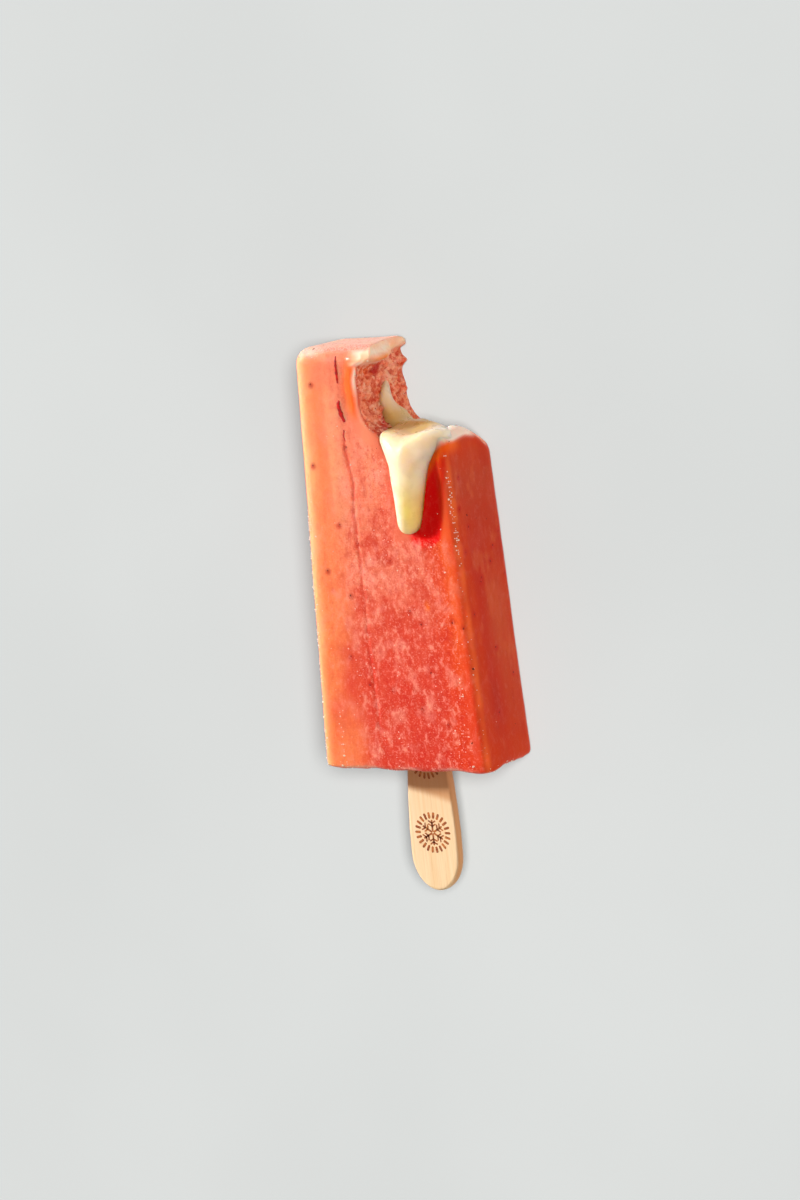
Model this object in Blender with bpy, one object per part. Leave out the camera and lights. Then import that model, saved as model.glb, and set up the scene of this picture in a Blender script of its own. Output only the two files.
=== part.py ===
"""A bitten fruit ice pop with a soft sweet-milk filling, on a wooden paddle stick.

The pop lies on its back. X runs across it, Y along it towards the bitten tip, and Z from the back
face up to the front face. Every shape is modelled in the pop's own frame, where y = 0 is the end
face that the stick comes out of, and one empty then moves them all, so that the world's origin is
under the middle of the object's box, on the surface that the back face rests on.
"""

import math

import bmesh
import bpy
from mathutils import Vector

MM = 0.001
GAP = 0.3 * MM  # clearance between solids that touch

# Frozen body: a tapered bar, widest at the open end of its mould.
POP_LENGTH = 110.0 * MM
OPEN_WIDTH = 52.0 * MM
OPEN_DEPTH = 23.6 * MM
TIP_WIDTH = 43.5 * MM
TIP_DEPTH = 22.5 * MM
SIDE_ROUND = 3.85 * MM
TIP_ROUND = 4.2 * MM
OPEN_ROUND = 1.3 * MM
OPEN_BULGE = 1.1 * MM
LEAST_ROUND = 0.3 * MM
CORNER_STEPS = 6
BULGE_RINGS = (0.2, 0.5, 0.8)

# Bite: a wall and a floor that meet in a round corner, out of the tip's corner at +X.
BITE_WALL_X = -1.0 * MM
BITE_FLOOR_Y = 87.2 * MM
BITE_CORNER = 6.5 * MM
BITE_TOP_Y = 118.0 * MM
BITE_OUT_X = 34.0 * MM
BITE_STEPS = (22, 7, 20)  # along the wall, round the corner, along the floor
BITE_LAYERS = 12
BITE_OVER = 5.0 * MM  # how far the cutter stands out of the front and the back
LIP_ROUND = 1.0 * MM  # at the front and back edges of the bite
LIP_STEPS = (0.0, 0.25, 1.0)  # shares of the round where it is sampled
RIM_ROUND = 2.5 * MM  # at its edge on the side
TOOTH_PITCH = 6.3 * MM
TOOTH_RIDGE_Y = 103.5 * MM
TOOTH_DEPTH = 1.7 * MM
TOOTH_FADE = (92.0 * MM, 104.0 * MM)  # the marks grow between these, towards the tip
TOOTH_MELT = 0.7  # share of the marks that has melted away at the front
SCOOP_DEPTH = 1.0 * MM
SCOOP_RIDGE = 0.52  # share of the depth, from the back, where two scoops meet in a ridge
WALL_BOW = 0.5 * MM
BROW_DEPTH = 3.0 * MM  # the melted brow at the top of the wall's front
BROW_Y = 109.5 * MM
BROW_REACH = 3.2 * MM
NOTCH_DEPTH = 3.8 * MM
NOTCH_X = 11.6 * MM
NOTCH_REACH = 6.6 * MM
BACK_DROP = 7.0 * MM
# Shares of the depth, 0 at the back and 1 at the front, over which each of these comes in.
MELT_SPAN = (0.3, 0.8)
BROW_SPAN = (0.5, 0.75)
NOTCH_SPAN = (0.55, 0.95)
DROP_SPAN = (0.62, 0.0)

# Filling: a core inside the body, and the soft flow that has run out of it over the bite's floor.
CORE_HALF_WIDTH = 10.0 * MM
CORE_HALF_THICKNESS = 4.2 * MM
CORE_START_Y = 18.0 * MM
CORE_END_Y = 99.6 * MM
CORE_CAP = 7.0 * MM
CORE_SQUARENESS = 2.5  # exponent of the core's superellipse section
CORE_PROUD = 1.0 * MM  # how far its cut face has swelled out of the bite
CORE_SIDES = 28
CORE_CAP_STEPS = 5

FLOW_START_Y = 88.2 * MM
FLOW_START_Z = 1.5 * MM
FLOW_RIM_Y = 84.3 * MM  # where the flow turns over the front edge
FLOW_BEND = 5.0 * MM
FLOW_TIP_Y = 61.9 * MM
FLOW_TIP_ROUND = 4.6 * MM  # length of the round end, at the back of the floor too
FLOW_ROOT = 3.0 * MM  # depth of the flow's section below the surface that it runs over
FLOW_SIDES = 28
FLOW_STEPS = (6, 7, 6, 7)  # round an end, along the floor, round the bend, down the front
# Share of the way along the flow, and there its middle's x, its half width and its height.
FLOW_STATIONS = (
    (0.00, 1.5 * MM, 10.0 * MM, 1.6 * MM),
    (0.26, 3.0 * MM, 11.5 * MM, 2.6 * MM),
    (0.46, 10.6 * MM, 9.2 * MM, 4.4 * MM),
    (0.58, 11.7 * MM, 6.4 * MM, 4.8 * MM),
    (0.74, 11.5 * MM, 4.5 * MM, 5.0 * MM),
    (1.00, 10.7 * MM, 3.7 * MM, 4.8 * MM),
)

# Stick: a flat paddle, broadest near its free end.
STICK_OUT = 35.3 * MM
STICK_IN = 58.0 * MM
STICK_THICKNESS = 2.6 * MM
STICK_EDGE = 0.45 * MM
STICK_NARROW = 5.2 * MM  # half width inside the body
STICK_BROAD = 7.55 * MM  # half width near the free end
STICK_FREE_CAP = 10.0 * MM
STICK_INNER_CAP = 5.2 * MM
STICK_FLARE = (20.0 * MM, -22.0 * MM)  # y where the half width starts and stops growing
STICK_CAP_STEPS = 12
STICK_SIDE_STEPS = 12
STICK_X = -0.2 * MM
STICK_TURN = math.radians(-1.3)

MID_DEPTH = (OPEN_DEPTH + TIP_DEPTH) / 4
QUARTER = math.pi / 2


def smooth(value, low, high):
    """0 at low and 1 at high, with an even ease between them."""
    share = min(max((value - low) / (high - low), 0.0), 1.0)
    return share * share * (3.0 - 2.0 * share)


def loft(rings):
    """A closed solid through rings of equal point counts, with a flat cap at each end."""
    bm = bmesh.new()
    layers = [[bm.verts.new(point) for point in ring] for ring in rings]
    count = len(layers[0])
    for near, far in zip(layers, layers[1:]):
        for i in range(count):
            j = (i + 1) % count
            bm.faces.new((near[i], near[j], far[j], far[i]))
    bm.faces.new(layers[0])
    bm.faces.new(layers[-1])
    bmesh.ops.recalc_face_normals(bm, faces=bm.faces)
    return bm


def add_object(name, bm, parent, material=None):
    """Turns a bmesh into a named object on the pop's empty, shaded smooth with sharp edges."""
    mesh = bpy.data.meshes.new(name)
    bm.to_mesh(mesh)
    bm.free()
    mesh.shade_smooth()
    mesh.set_sharp_from_angle(angle=math.radians(40.0))
    if material:
        mesh.materials.append(material)
    piece = bpy.data.objects.new(name, mesh)
    bpy.context.scene.collection.objects.link(piece)
    piece.parent = parent
    return piece


def add_cutter(name, bm, parent):
    """A solid that only shapes others."""
    piece = add_object(name, bm, parent)
    piece.hide_render = True
    piece.display_type = "WIRE"
    return piece


def combine(piece, operand, operation):
    """Adds an exact Boolean of the piece with another object."""
    step = piece.modifiers.new(operand.name, "BOOLEAN")
    step.operation = operation
    step.object = operand
    step.solver = "EXACT"


def principled(name, colour, roughness, subsurface=0.0):
    """A plain material with one Principled shader."""
    material = bpy.data.materials.new(name)
    material.use_nodes = True
    shader = material.node_tree.nodes["Principled BSDF"]
    shader.inputs["Base Color"].default_value = (*colour, 1.0)
    shader.inputs["Roughness"].default_value = roughness
    shader.inputs["Metallic"].default_value = 0.0
    shader.inputs["Subsurface Weight"].default_value = subsurface
    material.diffuse_color = (*colour, 1.0)
    return material


# Frozen body


def width_at(y):
    return OPEN_WIDTH + (TIP_WIDTH - OPEN_WIDTH) * y / POP_LENGTH


def depth_at(y):
    return OPEN_DEPTH + (TIP_DEPTH - OPEN_DEPTH) * y / POP_LENGTH


def body_ring(y, inset, share=1.0):
    """A rounded rectangle across the body, drawn in by inset, then scaled about its middle."""
    radius = max(SIDE_ROUND - inset, LEAST_ROUND)
    middle = depth_at(y) / 2
    reach_x = width_at(y) / 2 - inset - radius
    reach_z = middle - inset - radius
    ring = []
    for turn, (side_x, side_z) in enumerate(((1, 1), (-1, 1), (-1, -1), (1, -1))):
        for i in range(CORNER_STEPS + 1):
            angle = QUARTER * (turn + i / CORNER_STEPS)
            x = side_x * reach_x + radius * math.cos(angle)
            z = side_z * reach_z + radius * math.sin(angle)
            ring.append(Vector((x * share, y, middle + z * share)))
    return ring


def body_solid(grow=0.0):
    """The whole frozen bar before the bite: bulged end face, straight taper, rounded tip."""
    rings = []
    for share in BULGE_RINGS:
        y = -OPEN_BULGE * (1.0 - share * share) - grow
        rings.append(body_ring(y, OPEN_ROUND, share))
    for i in range(CORNER_STEPS + 1):
        angle = QUARTER * i / CORNER_STEPS
        y = OPEN_ROUND - (OPEN_ROUND + grow) * math.cos(angle)
        rings.append(body_ring(y, OPEN_ROUND - (OPEN_ROUND + grow) * math.sin(angle)))
    for i in range(CORNER_STEPS + 1):
        angle = QUARTER * i / CORNER_STEPS
        y = POP_LENGTH - TIP_ROUND + (TIP_ROUND + grow) * math.sin(angle)
        rings.append(body_ring(y, TIP_ROUND - (TIP_ROUND + grow) * math.cos(angle)))
    return loft(rings)


# Bite


def bite_profile():
    """Points of the bite's outline seen from the front, each with the way into the ice and with
    0 on the wall, 1 on the floor, and the share of the turn between them."""
    wall_steps, corner_steps, floor_steps = BITE_STEPS
    foot_y = BITE_FLOOR_Y + BITE_CORNER
    heel_x = BITE_WALL_X + BITE_CORNER
    points = []
    for i in range(wall_steps):
        y = BITE_TOP_Y + (foot_y - BITE_TOP_Y) * i / wall_steps
        points.append((BITE_WALL_X, y, -1.0, 0.0, 0.0))
    for i in range(corner_steps + 1):
        angle = QUARTER * i / corner_steps
        x = heel_x - BITE_CORNER * math.cos(angle)
        y = foot_y - BITE_CORNER * math.sin(angle)
        points.append((x, y, -math.cos(angle), -math.sin(angle), i / corner_steps))
    for i in range(1, floor_steps + 1):
        x = heel_x + (BITE_OUT_X - heel_x) * i / floor_steps
        points.append((x, BITE_FLOOR_Y, 0.0, -1.0, 1.0))
    return points


def wall_relief(y, share):
    """How much deeper than flat the wall is: tooth marks, two scoops, a bow and a melted brow."""
    tooth = abs(math.sin(math.pi * (y - TOOTH_RIDGE_Y) / TOOTH_PITCH))
    kept = 1.0 - TOOTH_MELT * smooth(share, *MELT_SPAN)
    scoop = abs(math.sin(math.pi * (share - SCOOP_RIDGE) / SCOOP_RIDGE))
    bow = math.sin(math.pi * smooth(y, BITE_FLOOR_Y, POP_LENGTH))
    brow = math.exp(-(((y - BROW_Y) / BROW_REACH) ** 2)) * smooth(share, *BROW_SPAN)
    marks = TOOTH_DEPTH * (tooth - 0.5) * kept * smooth(y, *TOOTH_FADE)
    return marks + SCOOP_DEPTH * scoop + WALL_BOW * bow - BROW_DEPTH * brow


def floor_relief(x, share):
    """How much deeper than flat the floor is: a notch at the front and a fall at the back."""
    notch = math.exp(-(((x - NOTCH_X) / NOTCH_REACH) ** 2)) * smooth(share, *NOTCH_SPAN)
    across = smooth(x, 0.0, TIP_WIDTH / 2)
    return NOTCH_DEPTH * notch + BACK_DROP * across * smooth(share, *DROP_SPAN)


def lip(inside, radius):
    """Extra cut that rounds the bite's edge off within a radius of one of the body's faces."""
    inside = min(max(inside, 0.0), radius)
    return radius - math.sqrt(radius**2 - (radius - inside) ** 2)


def bite_solid(grow=0.0):
    """What the bite removed, from behind the back face to in front of the front face."""
    depth = depth_at(BITE_FLOOR_Y)
    side_x = width_at(BITE_FLOOR_Y) / 2
    steps = [LIP_ROUND * share for share in LIP_STEPS]
    inner = depth - 2 * LIP_ROUND
    heights = [-BITE_OVER] + steps
    heights += [LIP_ROUND + inner * i / BITE_LAYERS for i in range(1, BITE_LAYERS)]
    heights += [depth - z for z in reversed(steps)] + [depth + BITE_OVER]
    rings = []
    for z in heights:
        share = min(max(z / depth, 0.0), 1.0)
        ring = [Vector((BITE_OUT_X, BITE_TOP_Y, z))]
        for x, y, into_x, into_y, turn in bite_profile():
            wall = wall_relief(y, share) * (1.0 - turn)
            edge = lip(min(z, depth - z), LIP_ROUND) + lip(side_x - x, RIM_ROUND)
            cut = wall + floor_relief(x, share) * turn + edge + grow
            ring.append(Vector((x + into_x * cut, y + into_y * cut, z)))
        rings.append(ring)
    return loft(rings)


# Filling


def superellipse(angle, half_width, half_height, exponent):
    """A point on a superellipse, as its two offsets from the middle."""
    across = math.copysign(abs(math.cos(angle)) ** (2.0 / exponent), math.cos(angle))
    up = math.copysign(abs(math.sin(angle)) ** (2.0 / exponent), math.sin(angle))
    return half_width * across, half_height * up


def core_ring(y, share, grow):
    ring = []
    for i in range(CORE_SIDES):
        angle = 2.0 * math.pi * i / CORE_SIDES
        half_width = CORE_HALF_WIDTH * share + grow
        half_height = CORE_HALF_THICKNESS * share + grow
        x, z = superellipse(angle, half_width, half_height, CORE_SQUARENESS)
        ring.append(Vector((x, y, MID_DEPTH + z)))
    return ring


def core_solid(grow=0.0):
    """The bar of filling inside the body, with a round cap at each end."""
    caps = [QUARTER * (i + 0.5) / (CORE_CAP_STEPS + 0.5) for i in range(CORE_CAP_STEPS + 1)]
    rings = []
    for angle in caps:
        y = CORE_START_Y + CORE_CAP - (CORE_CAP + grow) * math.cos(angle)
        rings.append(core_ring(y, math.sin(angle), grow))
    for angle in reversed(caps):
        y = CORE_END_Y - CORE_CAP + (CORE_CAP + grow) * math.cos(angle)
        rings.append(core_ring(y, math.sin(angle), grow))
    return loft(rings)


def slope(stations, i, column):
    """How fast a column changes at a station, from its neighbours on both sides."""
    before = stations[max(i - 1, 0)]
    after = stations[min(i + 1, len(stations) - 1)]
    return (after[column] - before[column]) / (after[0] - before[0])


def flow_station(share):
    """The flow's middle x, half width and height at a share of its way, on smooth cubics."""
    i = 0
    while i < len(FLOW_STATIONS) - 2 and share > FLOW_STATIONS[i + 1][0]:
        i += 1
    near, far = FLOW_STATIONS[i], FLOW_STATIONS[i + 1]
    span = far[0] - near[0]
    t = (share - near[0]) / span
    values = []
    for column in (1, 2, 3):
        leave = slope(FLOW_STATIONS, i, column) * span
        arrive = slope(FLOW_STATIONS, i + 1, column) * span
        hold_near = (1.0 + 2.0 * t) * (1.0 - t) ** 2 * near[column]
        hold_far = t * t * (3.0 - 2.0 * t) * far[column]
        turn = t * (1.0 - t) ** 2 * leave - t * t * (1.0 - t) * arrive
        values.append(hold_near + hold_far + turn)
    return values


def flow_route():
    """Points (y, z) on the surface that the flow runs over, each with the way along it, and a
    share that draws the section in at both round ends."""
    front = depth_at(FLOW_RIM_Y)
    start = Vector((FLOW_START_Y, FLOW_START_Z))
    rim = Vector((FLOW_RIM_Y, front))
    tip = Vector((FLOW_TIP_Y, depth_at(FLOW_TIP_Y)))
    along_floor = (rim - start).normalized()
    along_front = (tip - rim).normalized()
    round_to = start + along_floor * FLOW_TIP_ROUND
    bend_from = rim - along_floor * FLOW_BEND
    bend_to = rim + along_front * FLOW_BEND
    round_from = tip - along_front * FLOW_TIP_ROUND
    end_steps, floor_steps, bend_steps, front_steps = FLOW_STEPS
    route = []
    for i in range(1, end_steps):
        angle = QUARTER * i / end_steps
        route.append((round_to.lerp(start, math.cos(angle)), along_floor, math.sin(angle)))
    for i in range(floor_steps):
        route.append((round_to.lerp(bend_from, i / floor_steps), along_floor, 1.0))
    for i in range(bend_steps):
        t = i / bend_steps
        point = bend_from.lerp(rim, t).lerp(rim.lerp(bend_to, t), t)
        route.append((point, along_floor.lerp(along_front, t).normalized(), 1.0))
    for i in range(front_steps):
        route.append((bend_to.lerp(round_from, i / front_steps), along_front, 1.0))
    for i in range(end_steps):
        angle = QUARTER * i / end_steps
        route.append((round_from.lerp(tip, math.sin(angle)), along_front, math.cos(angle)))
    return route


def flow_solid():
    """The soft filling that lies on the floor and hangs down the front in one drip."""
    route = flow_route()
    places = [point for point, _, _ in route]
    lengths = [0.0]
    for near, far in zip(places, places[1:]):
        lengths.append(lengths[-1] + (far - near).length)
    rings = []
    for (point, along, draw_in), length in zip(route, lengths):
        middle_x, half_width, height = flow_station(length / lengths[-1])
        out = Vector((along.y, -along.x))
        ring = []
        for i in range(FLOW_SIDES):
            angle = 2.0 * math.pi * i / FLOW_SIDES
            rise = math.sin(angle) * (height if math.sin(angle) > 0.0 else FLOW_ROOT) * draw_in
            place = point + out * rise
            x = middle_x + half_width * math.cos(angle) * draw_in
            ring.append(Vector((x, place.x, place.y)))
        rings.append(ring)
    return loft(rings)


# Stick


def stick_half_width(y):
    narrow_y, broad_y = STICK_FLARE
    return STICK_NARROW + (STICK_BROAD - STICK_NARROW) * smooth(y, narrow_y, broad_y)


def stick_outline(inset):
    """The paddle's outline in its own frame, drawn in by inset: round inner end, flared sides,
    and an elliptic free end."""
    inner_y = STICK_IN - STICK_INNER_CAP
    free_y = -STICK_OUT + STICK_FREE_CAP
    half = []
    for i in range(1, STICK_CAP_STEPS):
        angle = QUARTER * i / STICK_CAP_STEPS
        width = (stick_half_width(inner_y) - inset) * math.sin(angle)
        half.append((width, inner_y + (STICK_INNER_CAP - inset) * math.cos(angle)))
    for i in range(STICK_SIDE_STEPS + 1):
        y = inner_y + (free_y - inner_y) * i / STICK_SIDE_STEPS
        half.append((stick_half_width(y) - inset, y))
    for i in range(STICK_CAP_STEPS - 1, 0, -1):
        angle = QUARTER * i / STICK_CAP_STEPS
        width = (stick_half_width(free_y) - inset) * math.sin(angle)
        half.append((width, free_y - (STICK_FREE_CAP - inset) * math.cos(angle)))
    inner_tip = (0.0, STICK_IN - inset)
    free_tip = (0.0, -STICK_OUT + inset)
    return [inner_tip] + half + [free_tip] + [(-x, y) for x, y in reversed(half)]


def stick_solid(grow=0.0):
    """The paddle with eased edges, centred on its own thickness."""
    half_thickness = STICK_THICKNESS / 2 + grow
    straight = STICK_THICKNESS / 2 - STICK_EDGE
    levels = ((-half_thickness, STICK_EDGE), (-straight, 0.0), (straight, 0.0), (half_thickness, STICK_EDGE))
    rings = []
    for z, inset in levels:
        rings.append([Vector((x, y, z)) for x, y in stick_outline(inset - grow)])
    return loft(rings)


def place_stick(piece):
    piece.location = (STICK_X, 0.0, MID_DEPTH)
    piece.rotation_euler = (0.0, 0.0, STICK_TURN)


def main():
    for thing in list(bpy.data.objects):
        bpy.data.objects.remove(thing)

    pop = bpy.data.objects.new("pop", None)
    bpy.context.scene.collection.objects.link(pop)
    pop.location = (0.0, (STICK_OUT - POP_LENGTH) / 2, 0.0)

    ice = principled("fruit_ice", (0.80, 0.13, 0.08), 0.35, subsurface=0.4)
    cream = principled("sweet_milk", (0.90, 0.76, 0.46), 0.25, subsurface=0.3)
    wood = principled("pale_wood", (0.86, 0.66, 0.42), 0.6)

    bite = add_cutter("bite_cutter", bite_solid(), pop)
    core_pocket = add_cutter("core_pocket_cutter", core_solid(grow=GAP), pop)
    stick_slot = add_cutter("stick_slot_cutter", stick_solid(grow=GAP), pop)
    place_stick(stick_slot)

    body = add_object("ice_body", body_solid(), pop, ice)
    combine(body, bite, "DIFFERENCE")
    combine(body, core_pocket, "DIFFERENCE")
    combine(body, stick_slot, "DIFFERENCE")

    # The flow keeps GAP to the ice all over, and joins the core where the bite opened it.
    near_bite = add_cutter("near_bite_cutter", bite_solid(grow=-GAP), pop)
    near_ice = add_cutter("near_ice_cutter", body_solid(grow=GAP), pop)
    combine(near_ice, near_bite, "DIFFERENCE")
    proud_bite = add_cutter("proud_bite_cutter", bite_solid(grow=-CORE_PROUD), pop)
    core = add_cutter("core_cutter", core_solid(), pop)
    combine(core, proud_bite, "DIFFERENCE")
    combine(core, stick_slot, "DIFFERENCE")

    filling = add_object("cream_filling", flow_solid(), pop, cream)
    combine(filling, near_ice, "DIFFERENCE")
    combine(filling, core, "UNION")

    stick = add_object("stick", stick_solid(), pop, wood)
    place_stick(stick)


main()
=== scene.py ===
"""Looks of a bitten fruit ice pop with a runny milk filling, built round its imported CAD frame.

Lengths here are millimetres in the pop's own frame: x across, y from the stick's end face to the
bitten tip, z up from the floor. Meshes are turned into metres in the row frame as they are made.
"""

import itertools
import math

import bmesh
import bpy
import numpy as np
from mathutils import Matrix, Vector
from mathutils.kdtree import KDTree


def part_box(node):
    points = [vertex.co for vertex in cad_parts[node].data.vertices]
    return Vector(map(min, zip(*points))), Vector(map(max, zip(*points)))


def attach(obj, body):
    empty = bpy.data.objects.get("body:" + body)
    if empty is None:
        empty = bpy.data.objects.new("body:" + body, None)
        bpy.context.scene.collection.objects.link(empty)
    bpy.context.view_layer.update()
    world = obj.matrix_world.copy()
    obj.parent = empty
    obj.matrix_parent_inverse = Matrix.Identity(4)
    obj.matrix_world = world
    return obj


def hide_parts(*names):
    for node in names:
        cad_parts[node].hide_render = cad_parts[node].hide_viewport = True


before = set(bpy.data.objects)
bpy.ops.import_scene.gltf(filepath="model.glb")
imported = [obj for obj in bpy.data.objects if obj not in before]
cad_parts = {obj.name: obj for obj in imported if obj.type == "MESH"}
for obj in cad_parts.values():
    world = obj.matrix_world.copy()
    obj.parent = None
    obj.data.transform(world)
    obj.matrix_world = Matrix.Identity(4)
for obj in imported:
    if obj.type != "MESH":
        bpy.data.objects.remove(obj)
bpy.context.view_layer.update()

MM = 0.001
ice_low, ice_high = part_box("ice_body")
stick_low, stick_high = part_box("stick")
cream_low, cream_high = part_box("cream_filling")

# The frozen bar, as the CAD has it.
POP_LENGTH = 110.0
OPEN_HALF = (ice_high.x - ice_low.x) / MM / 2
TIP_HALF = OPEN_HALF * 0.837
OPEN_DEPTH = ice_high.z / MM
TIP_DEPTH = OPEN_DEPTH * 0.953
SIDE_ROUND = 3.85
POP_Y = ice_high.y / MM - POP_LENGTH
BITE_FLOOR_Y = 87.2
BITE_WALL_X = -1.0
CORE_HALF_WIDTH = 10.3
CORE_HALF_THICKNESS = 4.5
CORE_SQUARENESS = 2.5
MID_DEPTH = (OPEN_DEPTH + TIP_DEPTH) / 4


# Numbers over many points at once


def smooth(value, low, high):
    """0 at low and 1 at high, with an even ease between them."""
    share = np.clip((value - low) / (high - low), 0.0, 1.0)
    return share * share * (3.0 - 2.0 * share)


def bell(value, middle, reach):
    """1 at the middle, falling to nothing beyond about twice the reach."""
    return np.exp(-(((value - middle) / reach) ** 2))


def noise(points, size, seed):
    """Smooth noise from about -1 to 1 whose bumps are size apart, or size[i] along axis i."""
    draw = np.random.default_rng(seed)
    table = draw.uniform(-1.0, 1.0, (32, 32, 32))
    cell = points / np.asarray(size) + draw.uniform(0.0, 32.0, 3)
    base = np.floor(cell).astype(int)
    part = cell - base
    part = part * part * (3.0 - 2.0 * part)
    total = np.zeros(len(points))
    for corner in itertools.product((0, 1), repeat=3):
        at = (base + corner) % 32
        weight = np.where(corner, part, 1.0 - part).prod(axis=1)
        total += weight * table[at[:, 0], at[:, 1], at[:, 2]]
    return total


def cloud(points, size, seed, layers=3, rough=0.5):
    """Several layers of noise, each half the size of the one before."""
    total = np.zeros(len(points))
    reach = 0.0
    for layer in range(layers):
        strength = rough**layer
        total += strength * noise(points, np.asarray(size) / 2**layer, seed + layer)
        reach += strength
    return total / reach


# Meshes


def piece_points(mesh):
    flat = np.empty(len(mesh.vertices) * 3)
    mesh.vertices.foreach_get("co", flat)
    return flat.reshape(-1, 3)


def set_points(mesh, points):
    mesh.vertices.foreach_set("co", np.ascontiguousarray(points, dtype=np.float32).ravel())
    mesh.update()


def piece_normals(mesh):
    flat = np.empty(len(mesh.vertices) * 3, np.float32)
    mesh.vertex_normals.foreach_get("vector", flat)
    return flat.reshape(-1, 3).astype(float)


def cad_copy(node):
    """A CAD node's mesh in millimetres in the pop's frame, as a new mesh."""
    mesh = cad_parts[node].data.copy()
    set_points(mesh, piece_points(mesh) / MM - (0.0, POP_Y, 0.0))
    mesh.materials.clear()
    return mesh


def remeshed(mesh, voxel):
    """The closed mesh rebuilt from even quads of one voxel's size."""
    carrier = bpy.data.objects.new("remesh_work", mesh)
    bpy.context.scene.collection.objects.link(carrier)
    step = carrier.modifiers.new("voxels", "REMESH")
    step.mode = "VOXEL"
    step.voxel_size = voxel
    graph = bpy.context.evaluated_depsgraph_get()
    made = bpy.data.meshes.new_from_object(carrier.evaluated_get(graph))
    bpy.data.objects.remove(carrier)
    bpy.data.meshes.remove(mesh)
    return made


def relax(mesh, points, rounds, share=0.5, keep=None):
    """Moves each point towards its neighbours' middle; keep is a weight that holds points still."""
    ends = np.empty(len(mesh.edges) * 2, int)
    mesh.edges.foreach_get("vertices", ends)
    near, far = ends[0::2], ends[1::2]
    count = np.bincount(ends, minlength=len(points)).astype(float)
    hold = 1.0 if keep is None else (1.0 - keep)[:, None]
    for _ in range(rounds):
        total = np.empty_like(points)
        for axis in range(3):
            total[:, axis] = np.bincount(near, points[far, axis], len(points))
            total[:, axis] += np.bincount(far, points[near, axis], len(points))
        points = points + hold * share * (total / count[:, None] - points)
    return points


def paint(mesh, name, values):
    """Stores one number or one colour for each point, for the material to read."""
    if values.ndim == 1:
        layer = mesh.attributes.new(name, "FLOAT", "POINT")
        layer.data.foreach_set("value", values.astype(np.float32))
    else:
        layer = mesh.attributes.new(name, "FLOAT_COLOR", "POINT")
        colour = np.ones((len(values), 4), np.float32)
        colour[:, :3] = values
        layer.data.foreach_set("color", colour.ravel())


def add_piece(name, mesh, material, replaces=()):
    """Turns a mesh in millimetres in the pop's frame into a named piece that rides on the root."""
    set_points(mesh, (piece_points(mesh) + (0.0, POP_Y, 0.0)) * MM)
    mesh.name = name
    mesh.materials.clear()
    mesh.materials.append(material)
    mesh.shade_smooth()
    piece = bpy.data.objects.new(name, mesh)
    bpy.context.scene.collection.objects.link(piece)
    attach(piece, "root")
    for node in replaces:
        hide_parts(node)
    shown.objects.link(piece)
    return piece


# Material nodes


def linear(red, green, blue):
    """A colour given as screen values from 0 to 255, in linear light."""
    values = np.array((red, green, blue)) / 255.0
    return np.where(values <= 0.04045, values / 12.92, ((values + 0.055) / 1.055) ** 2.4)


class Recipe:
    """A material's node tree, with short calls that add a node and join its inputs."""

    def __init__(self, name):
        self.material = bpy.data.materials.new(name)
        self.material.use_nodes = True
        self.tree = self.material.node_tree
        self.shader = self.tree.nodes["Principled BSDF"]
        self.place = self.add("ShaderNodeTexCoord").outputs["Object"]

    def add(self, kind, **settings):
        node = self.tree.nodes.new(kind)
        for name, value in settings.items():
            setattr(node, name, value)
        return node

    def feed(self, socket, value):
        """Sets a socket to a number or colour, or links another node's output to it."""
        if isinstance(value, bpy.types.NodeSocket):
            self.tree.links.new(value, socket)
        elif hasattr(value, "__len__") and len(value) == 3 and socket.type == "RGBA":
            socket.default_value = (*value, 1.0)
        else:
            socket.default_value = value

    def set(self, **values):
        """Sets the shader's inputs, named with underscores for spaces."""
        for name, value in values.items():
            self.feed(self.shader.inputs[name.replace("_", " ")], value)

    def read(self, name, output="Fac"):
        return self.add("ShaderNodeAttribute", attribute_name=name).outputs[output]

    def math(self, operation, *values, clamp=False):
        node = self.add("ShaderNodeMath", operation=operation, use_clamp=clamp)
        for socket, value in zip(node.inputs, values):
            self.feed(socket, value)
        return node.outputs[0]

    def stretch(self, scale):
        """The object's own coordinates, multiplied along each axis."""
        node = self.add("ShaderNodeMapping")
        self.feed(node.inputs["Vector"], self.place)
        node.inputs["Scale"].default_value = scale
        return node.outputs[0]

    def noise(self, size, detail=3.0, rough=0.5, place=None, warp=0.0):
        """Noise whose bumps are size millimetres apart."""
        node = self.add("ShaderNodeTexNoise")
        self.feed(node.inputs["Vector"], place or self.place)
        node.inputs["Scale"].default_value = 1.0 if place else 1.0 / (size * MM)
        node.inputs["Detail"].default_value = detail
        node.inputs["Roughness"].default_value = rough
        node.inputs["Distortion"].default_value = warp
        return node.outputs["Fac"]

    def band(self, value, low, high, to_low=0.0, to_high=1.0):
        """Maps low..high to to_low..to_high with an even ease."""
        node = self.add("ShaderNodeMapRange", interpolation_type="SMOOTHSTEP")
        for socket, given in zip(node.inputs, (value, low, high, to_low, to_high)):
            self.feed(socket, given)
        return node.outputs[0]

    def mix(self, share, first, second, blend="MIX"):
        node = self.add("ShaderNodeMix", data_type="RGBA", blend_type=blend)
        self.feed(node.inputs[0], share)
        self.feed(node.inputs[6], first)
        self.feed(node.inputs[7], second)
        return node.outputs[2]

    def bump(self, height, distance, strength=1.0, after=None):
        node = self.add("ShaderNodeBump")
        self.feed(node.inputs["Height"], height)
        node.inputs["Distance"].default_value = distance * MM
        node.inputs["Strength"].default_value = strength
        if after:
            self.feed(node.inputs["Normal"], after)
        return node.outputs[0]


# The frozen bar


def half_width(y):
    return OPEN_HALF + (TIP_HALF - OPEN_HALF) * y / POP_LENGTH


def depth(y):
    return OPEN_DEPTH + (TIP_DEPTH - OPEN_DEPTH) * y / POP_LENGTH


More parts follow.
